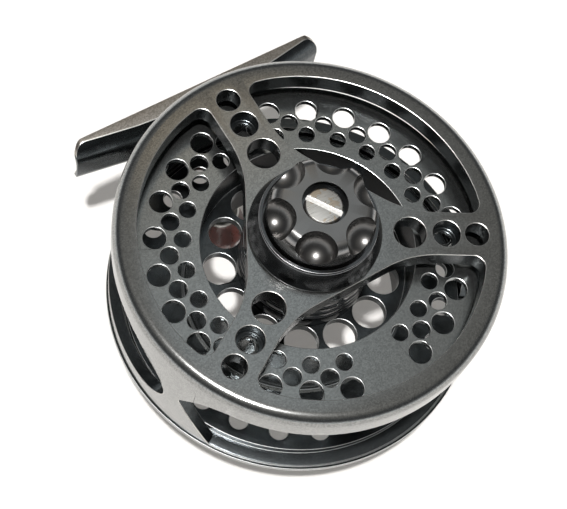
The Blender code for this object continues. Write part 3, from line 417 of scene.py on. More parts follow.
def rod(sides, radius, length, middle, lean=(0.0, 0.0, 0.0)):
    """A cylinder to cut with, upright unless it leans."""
    start_fresh()
    bpy.ops.mesh.primitive_cylinder_add(
        vertices=sides, radius=radius, depth=length, location=middle, rotation=lean
    )
    bpy.ops.object.transform_apply(location=False, rotation=True, scale=False)
    return bpy.context.object


def drill(piece, holes, sides=40):
    """Each hole is (centre, radius, height of its top, height of its bottom)."""
    rods = []
    for centre, radius, top, bottom in holes:
        middle = Vector((centre.x, centre.y, AXIS.z + (top + bottom) / 2))
        rods.append(rod(sides, radius, top - bottom, middle))
    make_active(rods[0])
    for other in rods:
        other.select_set(True)
    bpy.ops.object.join()
    cut(piece, bpy.context.object)


# %% Helpers for edges and painted faces
SMOOTH_BELOW = 20.0


def ease_edges(piece, width, finish, edge_finish, segments=2, sharper_than=35.0, limited=True):
    piece.data.materials.clear()
    piece.data.materials.append(finish)
    piece.data.materials.append(edge_finish)
    for face in piece.data.polygons:
        face.material_index = 0
    ease = piece.modifiers.new("ease", "BEVEL")
    ease.width = width
    ease.segments = segments
    ease.limit_method = "ANGLE"
    ease.angle_limit = math.radians(sharper_than)
    ease.material = 1
    ease.use_clamp_overlap = limited
    make_active(piece)
    bpy.ops.object.modifier_apply(modifier="ease")
    bpy.ops.object.shade_smooth_by_angle(angle=math.radians(SMOOTH_BELOW))


def paint(piece, finish, wanted):
    """Gives a finish to the faces whose middle, from the axis, and normal pass a test."""
    piece.data.materials.append(finish)
    for face in piece.data.polygons:
        if wanted(face.center - AXIS, face.normal):
            face.material_index = len(piece.data.materials) - 1


# %% Helper for taking a solid's place
def stand_for(piece, node, body):
    """The piece takes a solid's place and rides on its body."""
    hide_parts(node)
    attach(piece, body)
    print(piece.name, "stands for", node, "with", len(piece.data.polygons), "faces")


# %% [markdown]
# ## The frame
# The frame is one piece of bar, turned to a cup with a rounded shoulder. Three windows are milled
# through its back to leave the spokes, and three openings through its skirt to leave a foot pillar
# and two slim pillars. Each window's outline is a hub line, two spoke lines and an arc, with the
# corners filleted, so it is worked out from those few sizes.

# %% Frame: the turned cup
FRAME_RADIUS = (frame_high.x - frame_low.x) / 2
FRAME_HEIGHT = frame_high.z - frame_low.z
FRAME_WALL = 2.8 * MM
SHOULDER = 2.7 * MM
PLATE = 5.0 * MM
HUB_BORE = 10.3 * MM
reel_frame = turn(
    "reel_frame",
    [
        (HUB_BORE, 0.0),
        *round_over(FRAME_RADIUS, SHOULDER, 0.0, SHOULDER),
        (FRAME_RADIUS, -FRAME_HEIGHT),
        (FRAME_RADIUS - FRAME_WALL, -FRAME_HEIGHT),
        (FRAME_RADIUS - FRAME_WALL, -PLATE),
        (HUB_BORE, -PLATE),
    ],
    steps=180,
)
print("frame cup:", len(reel_frame.data.polygons), "faces")

# %% Frame: windows of the back
SPOKES = (90.0, 210.0, 330.0)
SPOKE_HALF = 5.35 * MM
HUB_FLAT = 15.4 * MM
WINDOW_RADIUS = 39.6 * MM
HUB_FILLET = 24.0 * MM
CORNER_FILLET = 2.6 * MM
OVER = 2.0 * MM


def fillet(corners, radii, steps=10):
    outline = []
    for i, (corner, radius) in enumerate(zip(corners, radii)):
        back = (corners[i - 1] - corner).normalized()
        ahead = (corners[(i + 1) % len(corners)] - corner).normalized()
        half = back.angle(ahead) / 2
        if radius == 0.0:
            outline.append(corner)
            continue
        reach = radius / math.tan(half)
        middle = corner + (back + ahead).normalized() * radius / math.sin(half)
        start = corner + back * reach - middle
        sweep = start.angle_signed(corner + ahead * reach - middle)
        for step in range(steps + 1):
            outline.append(middle + Matrix.Rotation(-sweep * step / steps, 2) @ start)
    return outline


def back_window(middle_angle):
    along = Vector((math.cos(math.radians(30.0)), -math.sin(math.radians(30.0))))
    across = Vector((along.y, -along.x))
    reach = (HUB_FLAT + SPOKE_HALF * across.y) / -along.y
    inner = along * reach + across * SPOKE_HALF
    tip = along * math.sqrt(WINDOW_RADIUS**2 - SPOKE_HALF**2) + across * SPOKE_HALF
    first = math.degrees(math.atan2(tip.y, tip.x))
    span = -180.0 - 2 * first
    arc = []
    for i in range(3, 38):
        angle = math.radians(first + span * i / 40)
        arc.append(Vector((math.cos(angle), math.sin(angle))) * WINDOW_RADIUS)
    flip = Vector((-1.0, 1.0))
    corners = [inner, tip, *arc, tip * flip, inner * flip]
    radii = [HUB_FILLET, CORNER_FILLET, *([0.0] * len(arc)), CORNER_FILLET, HUB_FILLET]
    swing = Matrix.Rotation(math.radians(middle_angle - 270.0), 2)
    return [swing @ point + AXIS.to_2d() for point in fillet(corners, radii)]


for spoke in SPOKES:
    outline = back_window(spoke + 60.0)
    cut(reel_frame, plate("window_cutter", outline, AXIS.z - PLATE - OVER, AXIS.z + OVER))
print("back windows cut:", len(reel_frame.data.polygons), "faces")

# %% [markdown]
# The skirt's openings follow the round wall, so each starts as a flat grid whose columns are bent
# round the axis: every column has an angle from the foot and a depth for its upper and lower edge.
# Solidify gives the bent grid the thickness to go through the wall.

# %% Frame: openings of the skirt
OPENING_TOP = 8.0 * MM
OPENING_BOTTOM = 29.5 * MM
FOOT_PILLAR = 17.0
SIDE_END = 103.7
SIDE_END_DEPTH = 22.0 * MM
SIDE_SLOPE = 80.0
CORNER_TURN = 2.5
CORNER_RISE = 2.0 * MM
FRONT_TIP = 109.5
FRONT_TIP_DEPTH = 18.5 * MM
FRONT_TIP_HALF = 0.6 * MM
FRONT_FULL = 125.0
FRONT_FOOT = 123.5


def between(first, second, share):
    return first + (second - first) * share


def skirt_cutter(columns):
    start_fresh()
    bpy.ops.mesh.primitive_grid_add(x_subdivisions=len(columns) - 1, y_subdivisions=1, size=2.0)
    grid = bpy.context.object
    order = sorted(grid.data.vertices, key=lambda point: (round(point.co.x, 5), point.co.y))
    for i, point in enumerate(order):
        angle, upper, lower = columns[i // 2]
        depth = lower if i % 2 == 0 else upper
        point.co = at(FRAME_RADIUS - FRAME_WALL / 2, SPOKES[0] + angle, -depth)
    wall = grid.modifiers.new("wall", "SOLIDIFY")
    wall.thickness = FRAME_WALL + 2 * OVER
    wall.offset = 0.0
    bpy.ops.object.modifier_apply(modifier="wall")
    bpy.ops.object.mode_set(mode="EDIT")
    close_mesh()
    return grid


def side_opening(side):
    columns = []
    for i in range(7):
        lean = math.radians(15.0 * i)
        rise = CORNER_RISE * (1 - math.sin(lean))
        angle = FOOT_PILLAR + CORNER_TURN * (1 - math.cos(lean))
        columns.append((angle, OPENING_TOP + rise, OPENING_BOTTOM - rise))
    for i in range(1, 30):
        angle = between(FOOT_PILLAR + CORNER_TURN, SIDE_SLOPE, i / 30)
        columns.append((angle, OPENING_TOP, OPENING_BOTTOM))
    for i in range(25):
        share = math.sin(math.radians(89.0 * i / 24))
        upper = between(OPENING_TOP, SIDE_END_DEPTH, 1 - math.sqrt(1 - share**2))
        lower = between(OPENING_BOTTOM, SIDE_END_DEPTH, 1 - math.sqrt(1 - share**4))
        columns.append((between(SIDE_SLOPE, SIDE_END, share), upper, lower))
    return sorted((side * angle, upper, lower) for angle, upper, lower in columns)


def front_opening():
    below = FRAME_HEIGHT + OVER
    half = []
    for i in range(25):
        share = i / 24
        angle = between(FRONT_TIP, FRONT_FULL, share)
        upper = between(FRONT_TIP_DEPTH - FRONT_TIP_HALF, OPENING_TOP, 1 - (1 - share) ** 2)
        fall = min((angle - FRONT_TIP) / (FRONT_FOOT - FRONT_TIP), 1.0)
        half.append((angle, upper, between(FRONT_TIP_DEPTH + FRONT_TIP_HALF, below, fall)))
    for i in range(1, 25):
        half.append((between(FRONT_FULL, 180.0, i / 24), OPENING_TOP, below))
    return half + [(360.0 - angle, upper, lower) for angle, upper, lower in reversed(half[:-1])]


for columns in (side_opening(1), side_opening(-1), front_opening()):
    cut(reel_frame, skirt_cutter(columns))
print("skirt openings cut:", len(reel_frame.data.polygons), "faces")

# %% [markdown]
# Three holes lighten each spoke. The middle one is stepped: a wide bore from above and a smaller
# hole on through. Then all edges are eased and brightened in one go, and the walls of the cuts,
# where little light reaches, are painted darker as painted shade.

# %% Frame: spoke holes and edges
SPOKE_HOLES = ((37.4 * MM, 2.8 * MM), (30.3 * MM, 3.25 * MM), (21.8 * MM, 3.8 * MM))
STEP_HOLE = 2.3 * MM
STEP_DEPTH = 3.8 * MM
FRAME_EASE = 0.15 * MM
TOP_LAYER = 1.0 * MM
LINE = 0.12 * MM
LEANING = 0.3
holes = []
steps = []
for spoke in SPOKES:
    for i, (circle, radius) in enumerate(SPOKE_HOLES):
        bottom = -STEP_DEPTH if i == 1 else -PLATE - OVER
        holes.append((at(circle, spoke), radius, OVER, bottom))
    steps.append((at(SPOKE_HOLES[1][0], spoke), STEP_HOLE, OVER, -PLATE - OVER))
drill(reel_frame, holes, 48)
drill(reel_frame, steps, 40)
ease_edges(reel_frame, FRAME_EASE, frame_metal, edge_metal, limited=False)


def in_cut_painted_shade(middle, normal):
    """The walls of the windows and spoke holes, and of the openings in the skirt: painted shade."""
    outward = middle.to_2d()
    distance = outward.length
    if distance < FRAME_RADIUS - FRAME_WALL - LINE:
        return (abs(normal.z) < LEANING or middle.z < -TOP_LAYER) and middle.z > -PLATE
    sideways = abs(outward.normalized().dot(normal.to_2d())) < LEANING
    return sideways and -FRAME_HEIGHT + LINE < middle.z < -SHOULDER


# Painted shade on the walls of the cuts.
paint(reel_frame, painted_shade_metal, in_cut_painted_shade)
stand_for(reel_frame, "frame", "frame")

# %% [markdown]
# ## The spool
# The spool is a large-arbor one: two flanges on a wide drum, open in the middle, with a web half
# way down that carries it on the hub. It is drilled all over to save weight, and only the sector
# opposite the handle is left plain, which balances the handle.

# %% Spool: the turned body
spool_low, spool_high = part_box("spool")
RIM_RADIUS = (spool_high.x - spool_low.x) / 2
REAR = spool_high.z - AXIS.z
RIM_BOTTOM = spool_low.z - AXIS.z
REAR_FLANGE = 1.5 * MM
REAR_RADIUS = 41.7 * MM
ARBOR = 26.5 * MM
ARBOR_BORE = 25.0 * MM
WEB_TOP = -19.5 * MM
WEB_BOTTOM = -22.0 * MM
FRONT_TOP = -32.5 * MM
FRONT_FACE = -34.2 * MM
FRONT_RADIUS = 41.4 * MM
RIM_TOP = -34.8 * MM
HUB_RADIUS = 10.5 * MM
SPOOL_BORE = 8.3 * MM
HUB_END = -33.0 * MM
ROOT = 1.0 * MM
ROOT_KNEE = 0.3 * MM
RIM_LIP = 4.0 * MM
RIM_FOOT = 5.3 * MM
RING = 0.7 * MM
RING_HALF = 0.25 * MM
GROOVE_DEPTH = 0.3 * MM
GROOVE_HALF = 0.4 * MM
groove = (RIM_TOP + RIM_BOTTOM) / 2
reel_spool = turn(
    "reel_spool",
    [
        (ARBOR_BORE, REAR),
        (REAR_RADIUS, REAR),
        (REAR_RADIUS, REAR - REAR_FLANGE),
        (ARBOR + ROOT, REAR - REAR_FLANGE),
        (ARBOR + ROOT_KNEE, REAR - REAR_FLANGE - ROOT_KNEE),
        (ARBOR, REAR - REAR_FLANGE - ROOT),
        (ARBOR, FRONT_TOP + ROOT),
        (ARBOR + ROOT_KNEE, FRONT_TOP + ROOT_KNEE),
        (ARBOR + ROOT, FRONT_TOP),
        (FRONT_RADIUS, FRONT_TOP),
        (FRONT_RADIUS, RIM_TOP),
        (RIM_RADIUS - RING - RING_HALF, RIM_TOP),
        (RIM_RADIUS - RING, RIM_TOP - RING_HALF),
        (RIM_RADIUS - RING + RING_HALF, RIM_TOP),
        (RIM_RADIUS, RIM_TOP),
        (RIM_RADIUS, groove + GROOVE_HALF),
        (RIM_RADIUS - GROOVE_DEPTH, groove),
        (RIM_RADIUS, groove - GROOVE_HALF),
        (RIM_RADIUS, RIM_BOTTOM),
        (RIM_RADIUS - RIM_LIP, RIM_BOTTOM),
        (RIM_RADIUS - RIM_FOOT, FRONT_FACE),
        (ARBOR_BORE, FRONT_FACE),
        (ARBOR_BORE, WEB_BOTTOM),
        (HUB_RADIUS, WEB_BOTTOM),
        (HUB_RADIUS, HUB_END),
        (SPOOL_BORE, HUB_END),
        (SPOOL_BORE, WEB_TOP),
        (ARBOR_BORE, WEB_TOP),
    ],
    steps=160,
)
print("spool body:", len(reel_spool.data.polygons), "faces")

# %% Spool: drilling
FLANGE_STEP = 15.0
FLANGE_PHASE = 13.5
ROWS = ((35.2 * MM, 2.7 * MM, 0.0), (32.0 * MM, 2.15 * MM, 7.5), (28.85 * MM, 2.0 * MM, 0.0))
PLAIN_CENTRE = 268.5
PLAIN_HALF = 10.0
WEB_HOLES = 13
WEB_PHASE = -11.6
WEB_CIRCLE = 19.5 * MM
WEB_HOLE = 4.0 * MM
FRONT_PHASE = 7.5
FRONT_CIRCLE = 37.0 * MM
FRONT_HOLE = 2.3 * MM
HANDLE_CIRCLE = 28.5 * MM
HANDLE_ANGLE = 97.0
POST_HOLE = 2.1 * MM
in_row = round(360.0 / FLANGE_STEP)
holes = []
for circle, radius, shift in ROWS:
    for i in range(in_row):
        angle = FLANGE_PHASE + shift + FLANGE_STEP * i
        away = abs((angle - PLAIN_CENTRE + 180.0) % 360.0 - 180.0)
        if away > PLAIN_HALF:
            holes.append((at(circle, angle), radius, REAR + OVER, REAR - REAR_FLANGE - OVER))
for i in range(WEB_HOLES):
    place = at(WEB_CIRCLE, WEB_PHASE + 360.0 * i / WEB_HOLES)
    holes.append((place, WEB_HOLE, WEB_TOP + OVER, WEB_BOTTOM - OVER))
for i in range(in_row):
    place = at(FRONT_CIRCLE, FRONT_PHASE + FLANGE_STEP * i)
    holes.append((place, FRONT_HOLE, FRONT_TOP + OVER, FRONT_FACE - OVER))
holes.append((at(HANDLE_CIRCLE, HANDLE_ANGLE), POST_HOLE, FRONT_TOP + OVER, FRONT_FACE - OVER))
drill(reel_spool, holes, 32)
ease_edges(reel_spool, LINE, spool_metal, spool_edge, limited=False)
print("spool drilled:", len(holes), "holes")

# %% [markdown]
# Little light gets in between the flanges and into the arbor, so in those places shade is painted
# into the colour, darkest in the arbor's bore. The faces are picked by their place and their normal.

# %% Spool: painted shade in the darker places
FRONT_SHADE_ZONE = FRONT_TOP + 1.2 * MM


def is_wall(normal):
    return abs(normal.z) < 0.05


def is_flat(normal):
    return is_wall(normal) or abs(normal.z) > 0.95


def front_painted_shade(middle, normal):
    """The parts of the front flange that look up or out, without the bright lines of the rim: painted
    shade.
    """
    below = middle.z < FRONT_SHADE_ZONE and normal.z > -0.2
    return below and is_flat(normal) and middle.to_2d().length > ARBOR - LINE


def arbor_painted_shade(middle, normal):
    """The bore of the arbor and the web across it: painted shade."""
    inside = middle.z < REAR - LINE and middle.to_2d().length < ARBOR_BORE + LINE
    return inside and is_flat(normal)


def bore_painted_deep_shade(middle, normal):
    return arbor_painted_shade(middle, normal) and is_wall(normal) and middle.to_2d().length > ARBOR_BORE - LINE


# Painted shade on the front flange and in the arbor, and deeper painted shade on the bore's wall.
paint(reel_spool, painted_shade_metal, front_painted_shade)
paint(reel_spool, painted_shade_metal, arbor_painted_shade)
paint(reel_spool, painted_deep_shade_metal, bore_painted_deep_shade)
stand_for(reel_spool, "spool", "spool")

# %% [markdown]
# ## The drag collar and drum
# The collar is a short black ring that shields the knob's skirt. Its side sweeps in to a rim with
# two bright lines. Below the back plate the same black metal makes the drum of the drag, with a few
# grooves that show through the windows.

# %% Collar
COLLAR_BASE = 15.2 * MM
COLLAR_RIM = 13.3 * MM
COLLAR_TOP = 6.5 * MM
COLLAR_BORE = 12.6 * MM
COLLAR_FLOOR = 2.3 * MM
COLLAR_FOOT = 0.9 * MM
FIT = 0.3 * MM
SMALL_EASE = 0.1 * MM
rim_groove = (
    (COLLAR_RIM, COLLAR_TOP - 0.4 * MM),
    (COLLAR_RIM - 0.2 * MM, COLLAR_TOP - 0.5 * MM),
    (COLLAR_RIM - 0.2 * MM, COLLAR_TOP - 0.65 * MM),
    (COLLAR_RIM + 0.08 * MM, COLLAR_TOP - 0.8 * MM),
)
collar = turn(
    "collar",
    [
        (HUB_BORE, COLLAR_FLOOR),
        (COLLAR_BORE, COLLAR_FLOOR),
        (COLLAR_BORE, COLLAR_TOP),
        (COLLAR_RIM, COLLAR_TOP),
        *rim_groove,
        (COLLAR_BASE, COLLAR_FOOT),
        (COLLAR_BASE, FIT),
        (HUB_BORE, FIT),
    ],
)
ease_edges(collar, SMALL_EASE, black_metal, black_edge)
stand_for(collar, "drag_collar", "frame")

# %% Drum
DRUM_RADIUS = 15.5 * MM
DRUM_BORE = 14.1 * MM
DRUM_TOP = -PLATE - FIT
DRUM_ROOF = -7.3 * MM
DRUM_BOTTOM = -19.0 * MM
DRUM_GROOVES = (-8.5 * MM, -11.5 * MM, -14.5 * MM)
DRUM_GROOVE_DEPTH = 0.4 * MM
SPINDLE_HOLE = 3.3 * MM
section = [(SPINDLE_HOLE, DRUM_TOP), (DRUM_RADIUS, DRUM_TOP)]
for middle in DRUM_GROOVES:
    section.append((DRUM_RADIUS, middle + 0.5 * MM))
    section.append((DRUM_RADIUS - DRUM_GROOVE_DEPTH, middle + 0.3 * MM))
    section.append((DRUM_RADIUS - DRUM_GROOVE_DEPTH, middle - 0.3 * MM))
    section.append((DRUM_RADIUS, middle - 0.5 * MM))
section += [
    (DRUM_RADIUS, DRUM_BOTTOM),
    (DRUM_BORE, DRUM_BOTTOM),
    (DRUM_BORE, DRUM_ROOF),
    (SPINDLE_HOLE, DRUM_ROOF),
]
drum = turn("drum", section)
ease_edges(drum, LINE, black_metal, black_edge)
stand_for(drum, "drag_drum", "frame")

# %% [markdown]
# ## The drag knob and its screw
# The knob is turned with a round shoulder, and six bowls are milled into it with a ball cutter for
# the fingers. A large slotted screw sits in its recess and shows the marks of a screwdriver.

# %% Knob
KNOB_RADIUS = 12.0 * MM
KNOB_TOP = 14.0 * MM
KNOB_FLAT = 9.2 * MM
KNOB_DROP = 3.5 * MM
KNOB_SKIRT = 3.0 * MM
KNOB_RECESS = 5.1 * MM
KNOB_FLOOR = 11.3 * MM
KNOB_BORE = 3.3 * MM
KNOB_SKIRT_BORE = 10.3 * MM
KNOB_SKIRT_ROOF = 6.5 * MM
SLEEVE_BORE = 7.5 * MM
SLEEVE_ROOF = 9.0 * MM
knob = turn(
    "knob",
    [
        (KNOB_RECESS, KNOB_TOP),
        *round_over(KNOB_RADIUS, KNOB_RADIUS - KNOB_FLAT, KNOB_TOP, KNOB_DROP),
        (KNOB_RADIUS, KNOB_SKIRT),
        (KNOB_SKIRT_BORE, KNOB_SKIRT),
        (KNOB_SKIRT_BORE, KNOB_SKIRT_ROOF),
        (SLEEVE_BORE, KNOB_SKIRT_ROOF),
        (SLEEVE_BORE, SLEEVE_ROOF),
        (KNOB_BORE, SLEEVE_ROOF),
        (KNOB_BORE, KNOB_FLOOR),
        (KNOB_RECESS, KNOB_FLOOR),
    ],
)
print("knob turned:", len(knob.data.polygons), "faces")

# %% Knob: bowls for the fingers
BOWLS = 6
BOWL_PHASE = -11.5
BOWL = 4.7 * MM
BOWL_CIRCLE = 11.5 * MM
BOWL_HEIGHT = 12.8 * MM
BOWL_SKIN = 0.02 * MM
RECESS_EDGE = 0.3 * MM
bowls = [at(BOWL_CIRCLE, BOWL_PHASE + 360.0 * i / BOWLS, BOWL_HEIGHT) for i in range(BOWLS)]
for place in bowls:
    start_fresh()
    bpy.ops.mesh.primitive_uv_sphere_add(segments=64, ring_count=48, radius=BOWL, location=place)
    cut(knob, bpy.context.object)
ease_edges(knob, LINE, knob_metal, edge_metal, sharper_than=28.0)


def in_bowl_painted_shade(middle, normal):
    return any((middle + AXIS - place).length < BOWL + BOWL_SKIN for place in bowls)


def recess_painted_shade(middle, normal):
    return middle.to_2d().length < KNOB_RECESS + LINE and middle.z < KNOB_TOP - RECESS_EDGE


# Painted shade in the bowls.
paint(knob, bowl_painted_shade_metal, in_bowl_painted_shade)
# Painted shade: the recess round the screw gets the black finish.
paint(knob, black_metal, recess_painted_shade)
stand_for(knob, "drag_knob", "drag_knob")

# %% Screw: marked head and raw slot
SLOT_ANGLE = -57.0
MARK_SCALE = (300.0, 4000.0, 1.0)
MARK_DEPTH = 0.02 * MM
BURR_SCALE = 2400.0
BURR_DEPTH = 0.06 * MM
marked = Finish("screwdriver_marked_steel", 0.3)
along_slot = (0.0, 0.0, math.radians(-SLOT_ANGLE))
sockets = {"Vector": marked.place, "Rotation": along_slot, "Scale": MARK_SCALE}
scratch = marked.noise(1.0, 4.0, marked.node("ShaderNodeMapping", {}, sockets))
tarnish = marked.noise(500.0, 3.0)
polished = marked.mix(scratch, (0.55, 0.53, 0.5), (0.92, 0.9, 0.87))
marked.set("Base Color", marked.mix((tarnish > 0.58) * 0.5, polished, (0.6, 0.44, 0.26)))
marked.set("Roughness", 0.2 + scratch * 0.2)
marked.bump(scratch, 0.25, MARK_DEPTH)
burr = Finish("raw_slot", 0.55)
torn = burr.noise(BURR_SCALE, 4.0)
burr.set("Base Color", burr.mix(torn, (0.75, 0.74, 0.72), (1.0, 0.99, 0.97)))
burr.set("Roughness", 0.4 + torn * 0.3)
burr.bump(torn, 0.6, BURR_DEPTH)
print("screw finishes:", marked.material.name, burr.material.name)


# %% Screw: head and slot
SLOT_LENGTH = 20.0 * MM


def screw_section(top, head, bevel, under, shank, end):
    """Half of a screw's section: a head with a bevelled rim, then the shank."""
    inset, drop = bevel
    return [
        (0.0, top),
        (head - inset, top),
        (head, top - drop),
        (head, under),
        (shank, under),
        (shank, end),
        (0.0, end),
    ]


def slot_head(piece, middle, width, depth, degrees):
    """A straight slot across a screw's head."""
    start_fresh()
    bpy.ops.mesh.primitive_cube_add(size=1.0, location=middle)
    slot = bpy.context.object
    slot.scale = (SLOT_LENGTH, width, 2 * depth)
    slot.rotation_euler = (0.0, 0.0, math.radians(degrees))
    bpy.ops.object.transform_apply(location=False, rotation=True, scale=True)
    cut(piece, slot)


HEAD_TOP = 12.6 * MM
HEAD_UNDER = 11.6 * MM
HEAD_RADIUS = 4.3 * MM
HEAD_BEVEL = (0.35 * MM, 0.25 * MM)
SHANK = 1.4 * MM
SHANK_END = 6.1 * MM
SLOT = 1.2 * MM
SLOT_DEPTH = 0.35 * MM
SLOT_ZONE = 0.6 * MM
section = screw_section(HEAD_TOP, HEAD_RADIUS, HEAD_BEVEL, HEAD_UNDER, SHANK, SHANK_END)
screw = turn("screw", section, steps=96)
slot_head(screw, AXIS + Vector((0.0, 0.0, HEAD_TOP)), SLOT, SLOT_DEPTH, SLOT_ANGLE)
ease_edges(screw, SMALL_EASE, marked.material, marked.material)


def in_slot(middle, normal):
    across = Matrix.Rotation(math.radians(-SLOT_ANGLE), 2) @ middle.to_2d()
    return abs(across.y) < SLOT / 2 + LINE and middle.z > HEAD_TOP - SLOT_ZONE


paint(screw, burr.material, in_slot)
stand_for(screw, "knob_screw", "frame")

# %% [markdown]
# ## The foot
# The foot is milled from bar: flat where it beds on the rod, arched across its width on the other
# side, and thin at both toes, where the hoods of the reel seat grip it. The section of the toe is
# traced and filled, then pulled along the bar in five goes. After each pull the arch is pushed down
# or up, so that the bar is thick in the middle. A round-cornered outline then trims it.

# %% Foot: the arched bar
foot_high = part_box("reel_foot")[1]
FOOT_HALF = foot_high.x
FOOT_WIDE = foot_high.z
FOOT_TIP = 0.7 * MM
FOOT_TOE = 16.0 * MM
FOOT_TOE_SWELL = 2.5 * MM
FOOT_ROOT_SWELL = 0.6 * MM
FOOT_ARCH = 3.0 * MM
FOOT_CROWN = 2.5 * MM
FOOT_BASE = 11.0 * MM
FOOT_DEEP = 8.3 * MM
SCREW_GAP = 6.0 * MM


def select_points(piece, wanted):
    """Back in edit mode with only the points that pass a test."""
    bpy.ops.object.mode_set(mode="OBJECT")
    for part in (*piece.data.vertices, *piece.data.edges, *piece.data.polygons):
        part.select = False
    for point in piece.data.vertices:
        point.select = wanted(point.co)
    bpy.ops.object.mode_set(mode="EDIT")
    bpy.ops.mesh.select_mode(type="VERT")


half_arch = []
for i in range(13):
    fall = 1 - i / 12
    half_arch.append((between(FOOT_CROWN, FOOT_WIDE, fall), -FOOT_TIP - FOOT_ARCH * (1 - fall**2)))
arch = half_arch + [(-wide, depth) for wide, depth in reversed(half_arch)]
toe = [Vector((-FOOT_HALF, y, z)) for z, y in ((-FOOT_WIDE, 0.0), (FOOT_WIDE, 0.0), *arch)]
foot = trace("foot", [*toe, toe[0]])
bpy.ops.mesh.remove_doubles(threshold=WELD)
bpy.ops.mesh.edge_face_add()
reached = -FOOT_HALF
neck = FOOT_HALF - FOOT_TOE - FOOT_BASE
goes = (
    (FOOT_TOE, -FOOT_TOE_SWELL),
    (neck, -FOOT_ROOT_SWELL),
    (2 * FOOT_BASE, 0.0),
    (neck, FOOT_ROOT_SWELL),
    (FOOT_TOE, FOOT_TOE_SWELL),
)
for pull, push in goes:
    bpy.ops.mesh.extrude_region_move(TRANSFORM_OT_translate={"value": (pull, 0.0, 0.0)})
    reached += pull
    select_points(foot, lambda point: point.x > reached - WELD and point.y < -WELD)
    bpy.ops.transform.translate(value=(0.0, push, 0.0))
    select_points(foot, lambda point: point.x > reached - WELD)
close_mesh()
print("foot bar:", len(foot.data.polygons), "faces")

# %% [markdown]
# Under the hoods the toes are hollow, so that they bed on the round rod seat. The cutter is a rod
# that dips towards the tip, so the hollow runs out before it reaches the screws.

# %% Foot: the cutter of the hollow
HOLLOW = FOOT_ARCH
HOLLOW_LENGTH = 22.0 * MM
HOLLOW_RADIUS = (FOOT_WIDE**2 + HOLLOW**2) / (2 * HOLLOW)


def hollow_cutter(side):
    middle = (side * FOOT_HALF, HOLLOW_RADIUS - HOLLOW, 0.0)
    lean = (0.0, math.radians(90.0), -side * math.atan(HOLLOW / HOLLOW_LENGTH))
    return rod(144, HOLLOW_RADIUS, 2 * FOOT_HALF, middle, lean)


print("radius of the hollow:", round(HOLLOW_RADIUS, 4))

# %% Foot: block, outline and bed
BLOCK_TOP = 1.9 * MM
BLOCK_INSET = 0.6 * MM
FOOT_CORNER = 3.4 * MM
REACH = 20.0 * MM
start_fresh()
bpy.ops.mesh.primitive_cube_add(size=1.0, location=(0.0, -(FOOT_DEEP + BLOCK_TOP) / 2, 0.0))
block = bpy.context.object
block.scale = (2 * FOOT_BASE, FOOT_DEEP - BLOCK_TOP, 2 * FOOT_WIDE - BLOCK_INSET)
bpy.ops.object.transform_apply()
cut(foot, block, "UNION")
corners = [Vector((x * FOOT_HALF, y * FOOT_WIDE)) for x, y in ((-1, -1), (1, -1), (1, 1), (-1, 1))]
bar = plate("bar", fillet(corners, [FOOT_CORNER] * 4), -REACH, REACH)
bar.rotation_euler = (math.radians(90.0), 0.0, 0.0)
make_active(bar)
bpy.ops.object.transform_apply()
cut(foot, bar, "INTERSECT")
cut(foot, rod(360, FRAME_RADIUS + FIT, 4 * REACH, (AXIS.x, AXIS.y, 0.0)))
print("foot with block and bed:", len(foot.data.polygons), "faces")

# %% Foot: screw holes, hollows and edges
SHANK_HOLE = (1.4 * MM, 2 * REACH)
HEAD_HOLE = (2.5 * MM, 4.2 * MM)
FOOT_EASE = 0.14 * MM
FOOT_SIDE = 0.85
LAID_OVER = (math.radians(90.0), 0.0, 0.0)
for side in (-1, 1):
    for radius, length in (SHANK_HOLE, HEAD_HOLE):
        cut(foot, rod(40, radius, length, (side * SCREW_GAP, 0.0, 0.0), LAID_OVER))
for side in (-1, 1):
    cut(foot, hollow_cutter(side))
ease_edges(foot, FOOT_EASE, foot_metal, edge_metal, limited=False)


def under_foot_painted_shade(middle, normal):
    """The arched side and the ends, which face the frame: painted shade."""
    at_end = abs(middle.x) > FOOT_HALF - LINE
    return (normal.y < -LEANING or at_end) and abs(normal.z) < FOOT_SIDE


# Painted shade on the arched side and the ends.
paint(foot, painted_shade_metal, under_foot_painted_shade)
stand_for(foot, "reel_foot", "frame")

# %% [markdown]
# Two socket screws hold the foot. One is turned upright at the origin, its socket is cut with a
# six-sided rod, and it is then laid over. The second is a copy, moved across.

# %% Foot screws
FOOT_SCREW = 2.2 * MM
FOOT_SCREW_TOP = -0.3 * MM
FOOT_SCREW_UNDER = -1.8 * MM
FOOT_SCREW_BEVEL = (0.3 * MM, 0.3 * MM)
FOOT_SCREW_SHANK = 1.1 * MM
FOOT_SCREW_EASE = 0.06 * MM
SOCKET = 1.25 * MM
SOCKET_DEPTH = 1.0 * MM
section = screw_section(
    FOOT_SCREW_TOP, FOOT_SCREW, FOOT_SCREW_BEVEL, FOOT_SCREW_UNDER, FOOT_SCREW_SHANK, -FOOT_DEEP
)
foot_screw = turn("foot_screw_left", section, 48, Vector())
cut(foot_screw, rod(6, SOCKET, 2 * SOCKET_DEPTH, (0.0, 0.0, FOOT_SCREW_TOP)))
ease_edges(foot_screw, FOOT_SCREW_EASE, steel, steel)
make_active(foot_screw)
foot_screw.rotation_euler = (math.radians(-90.0), 0.0, 0.0)
foot_screw.location = (-SCREW_GAP, 0.0, 0.0)
bpy.ops.object.transform_apply()
bpy.ops.object.duplicate(linked=False)
other_screw = bpy.context.object
other_screw.name = "foot_screw_right"
other_screw.location = (2 * SCREW_GAP, 0.0, 0.0)
bpy.ops.object.transform_apply()
stand_for(foot_screw, "foot_screw_1", "frame")
stand_for(other_screw, "foot_screw_2", "frame")

# %% [markdown]
# ## The handle
# The handle hangs below the spool and shows only as a dark red shape through one hole of the web.
# It is turned from a dense red-brown wood and polished. A grey ferrule caps its neck, and a screw
# holds it on its post.

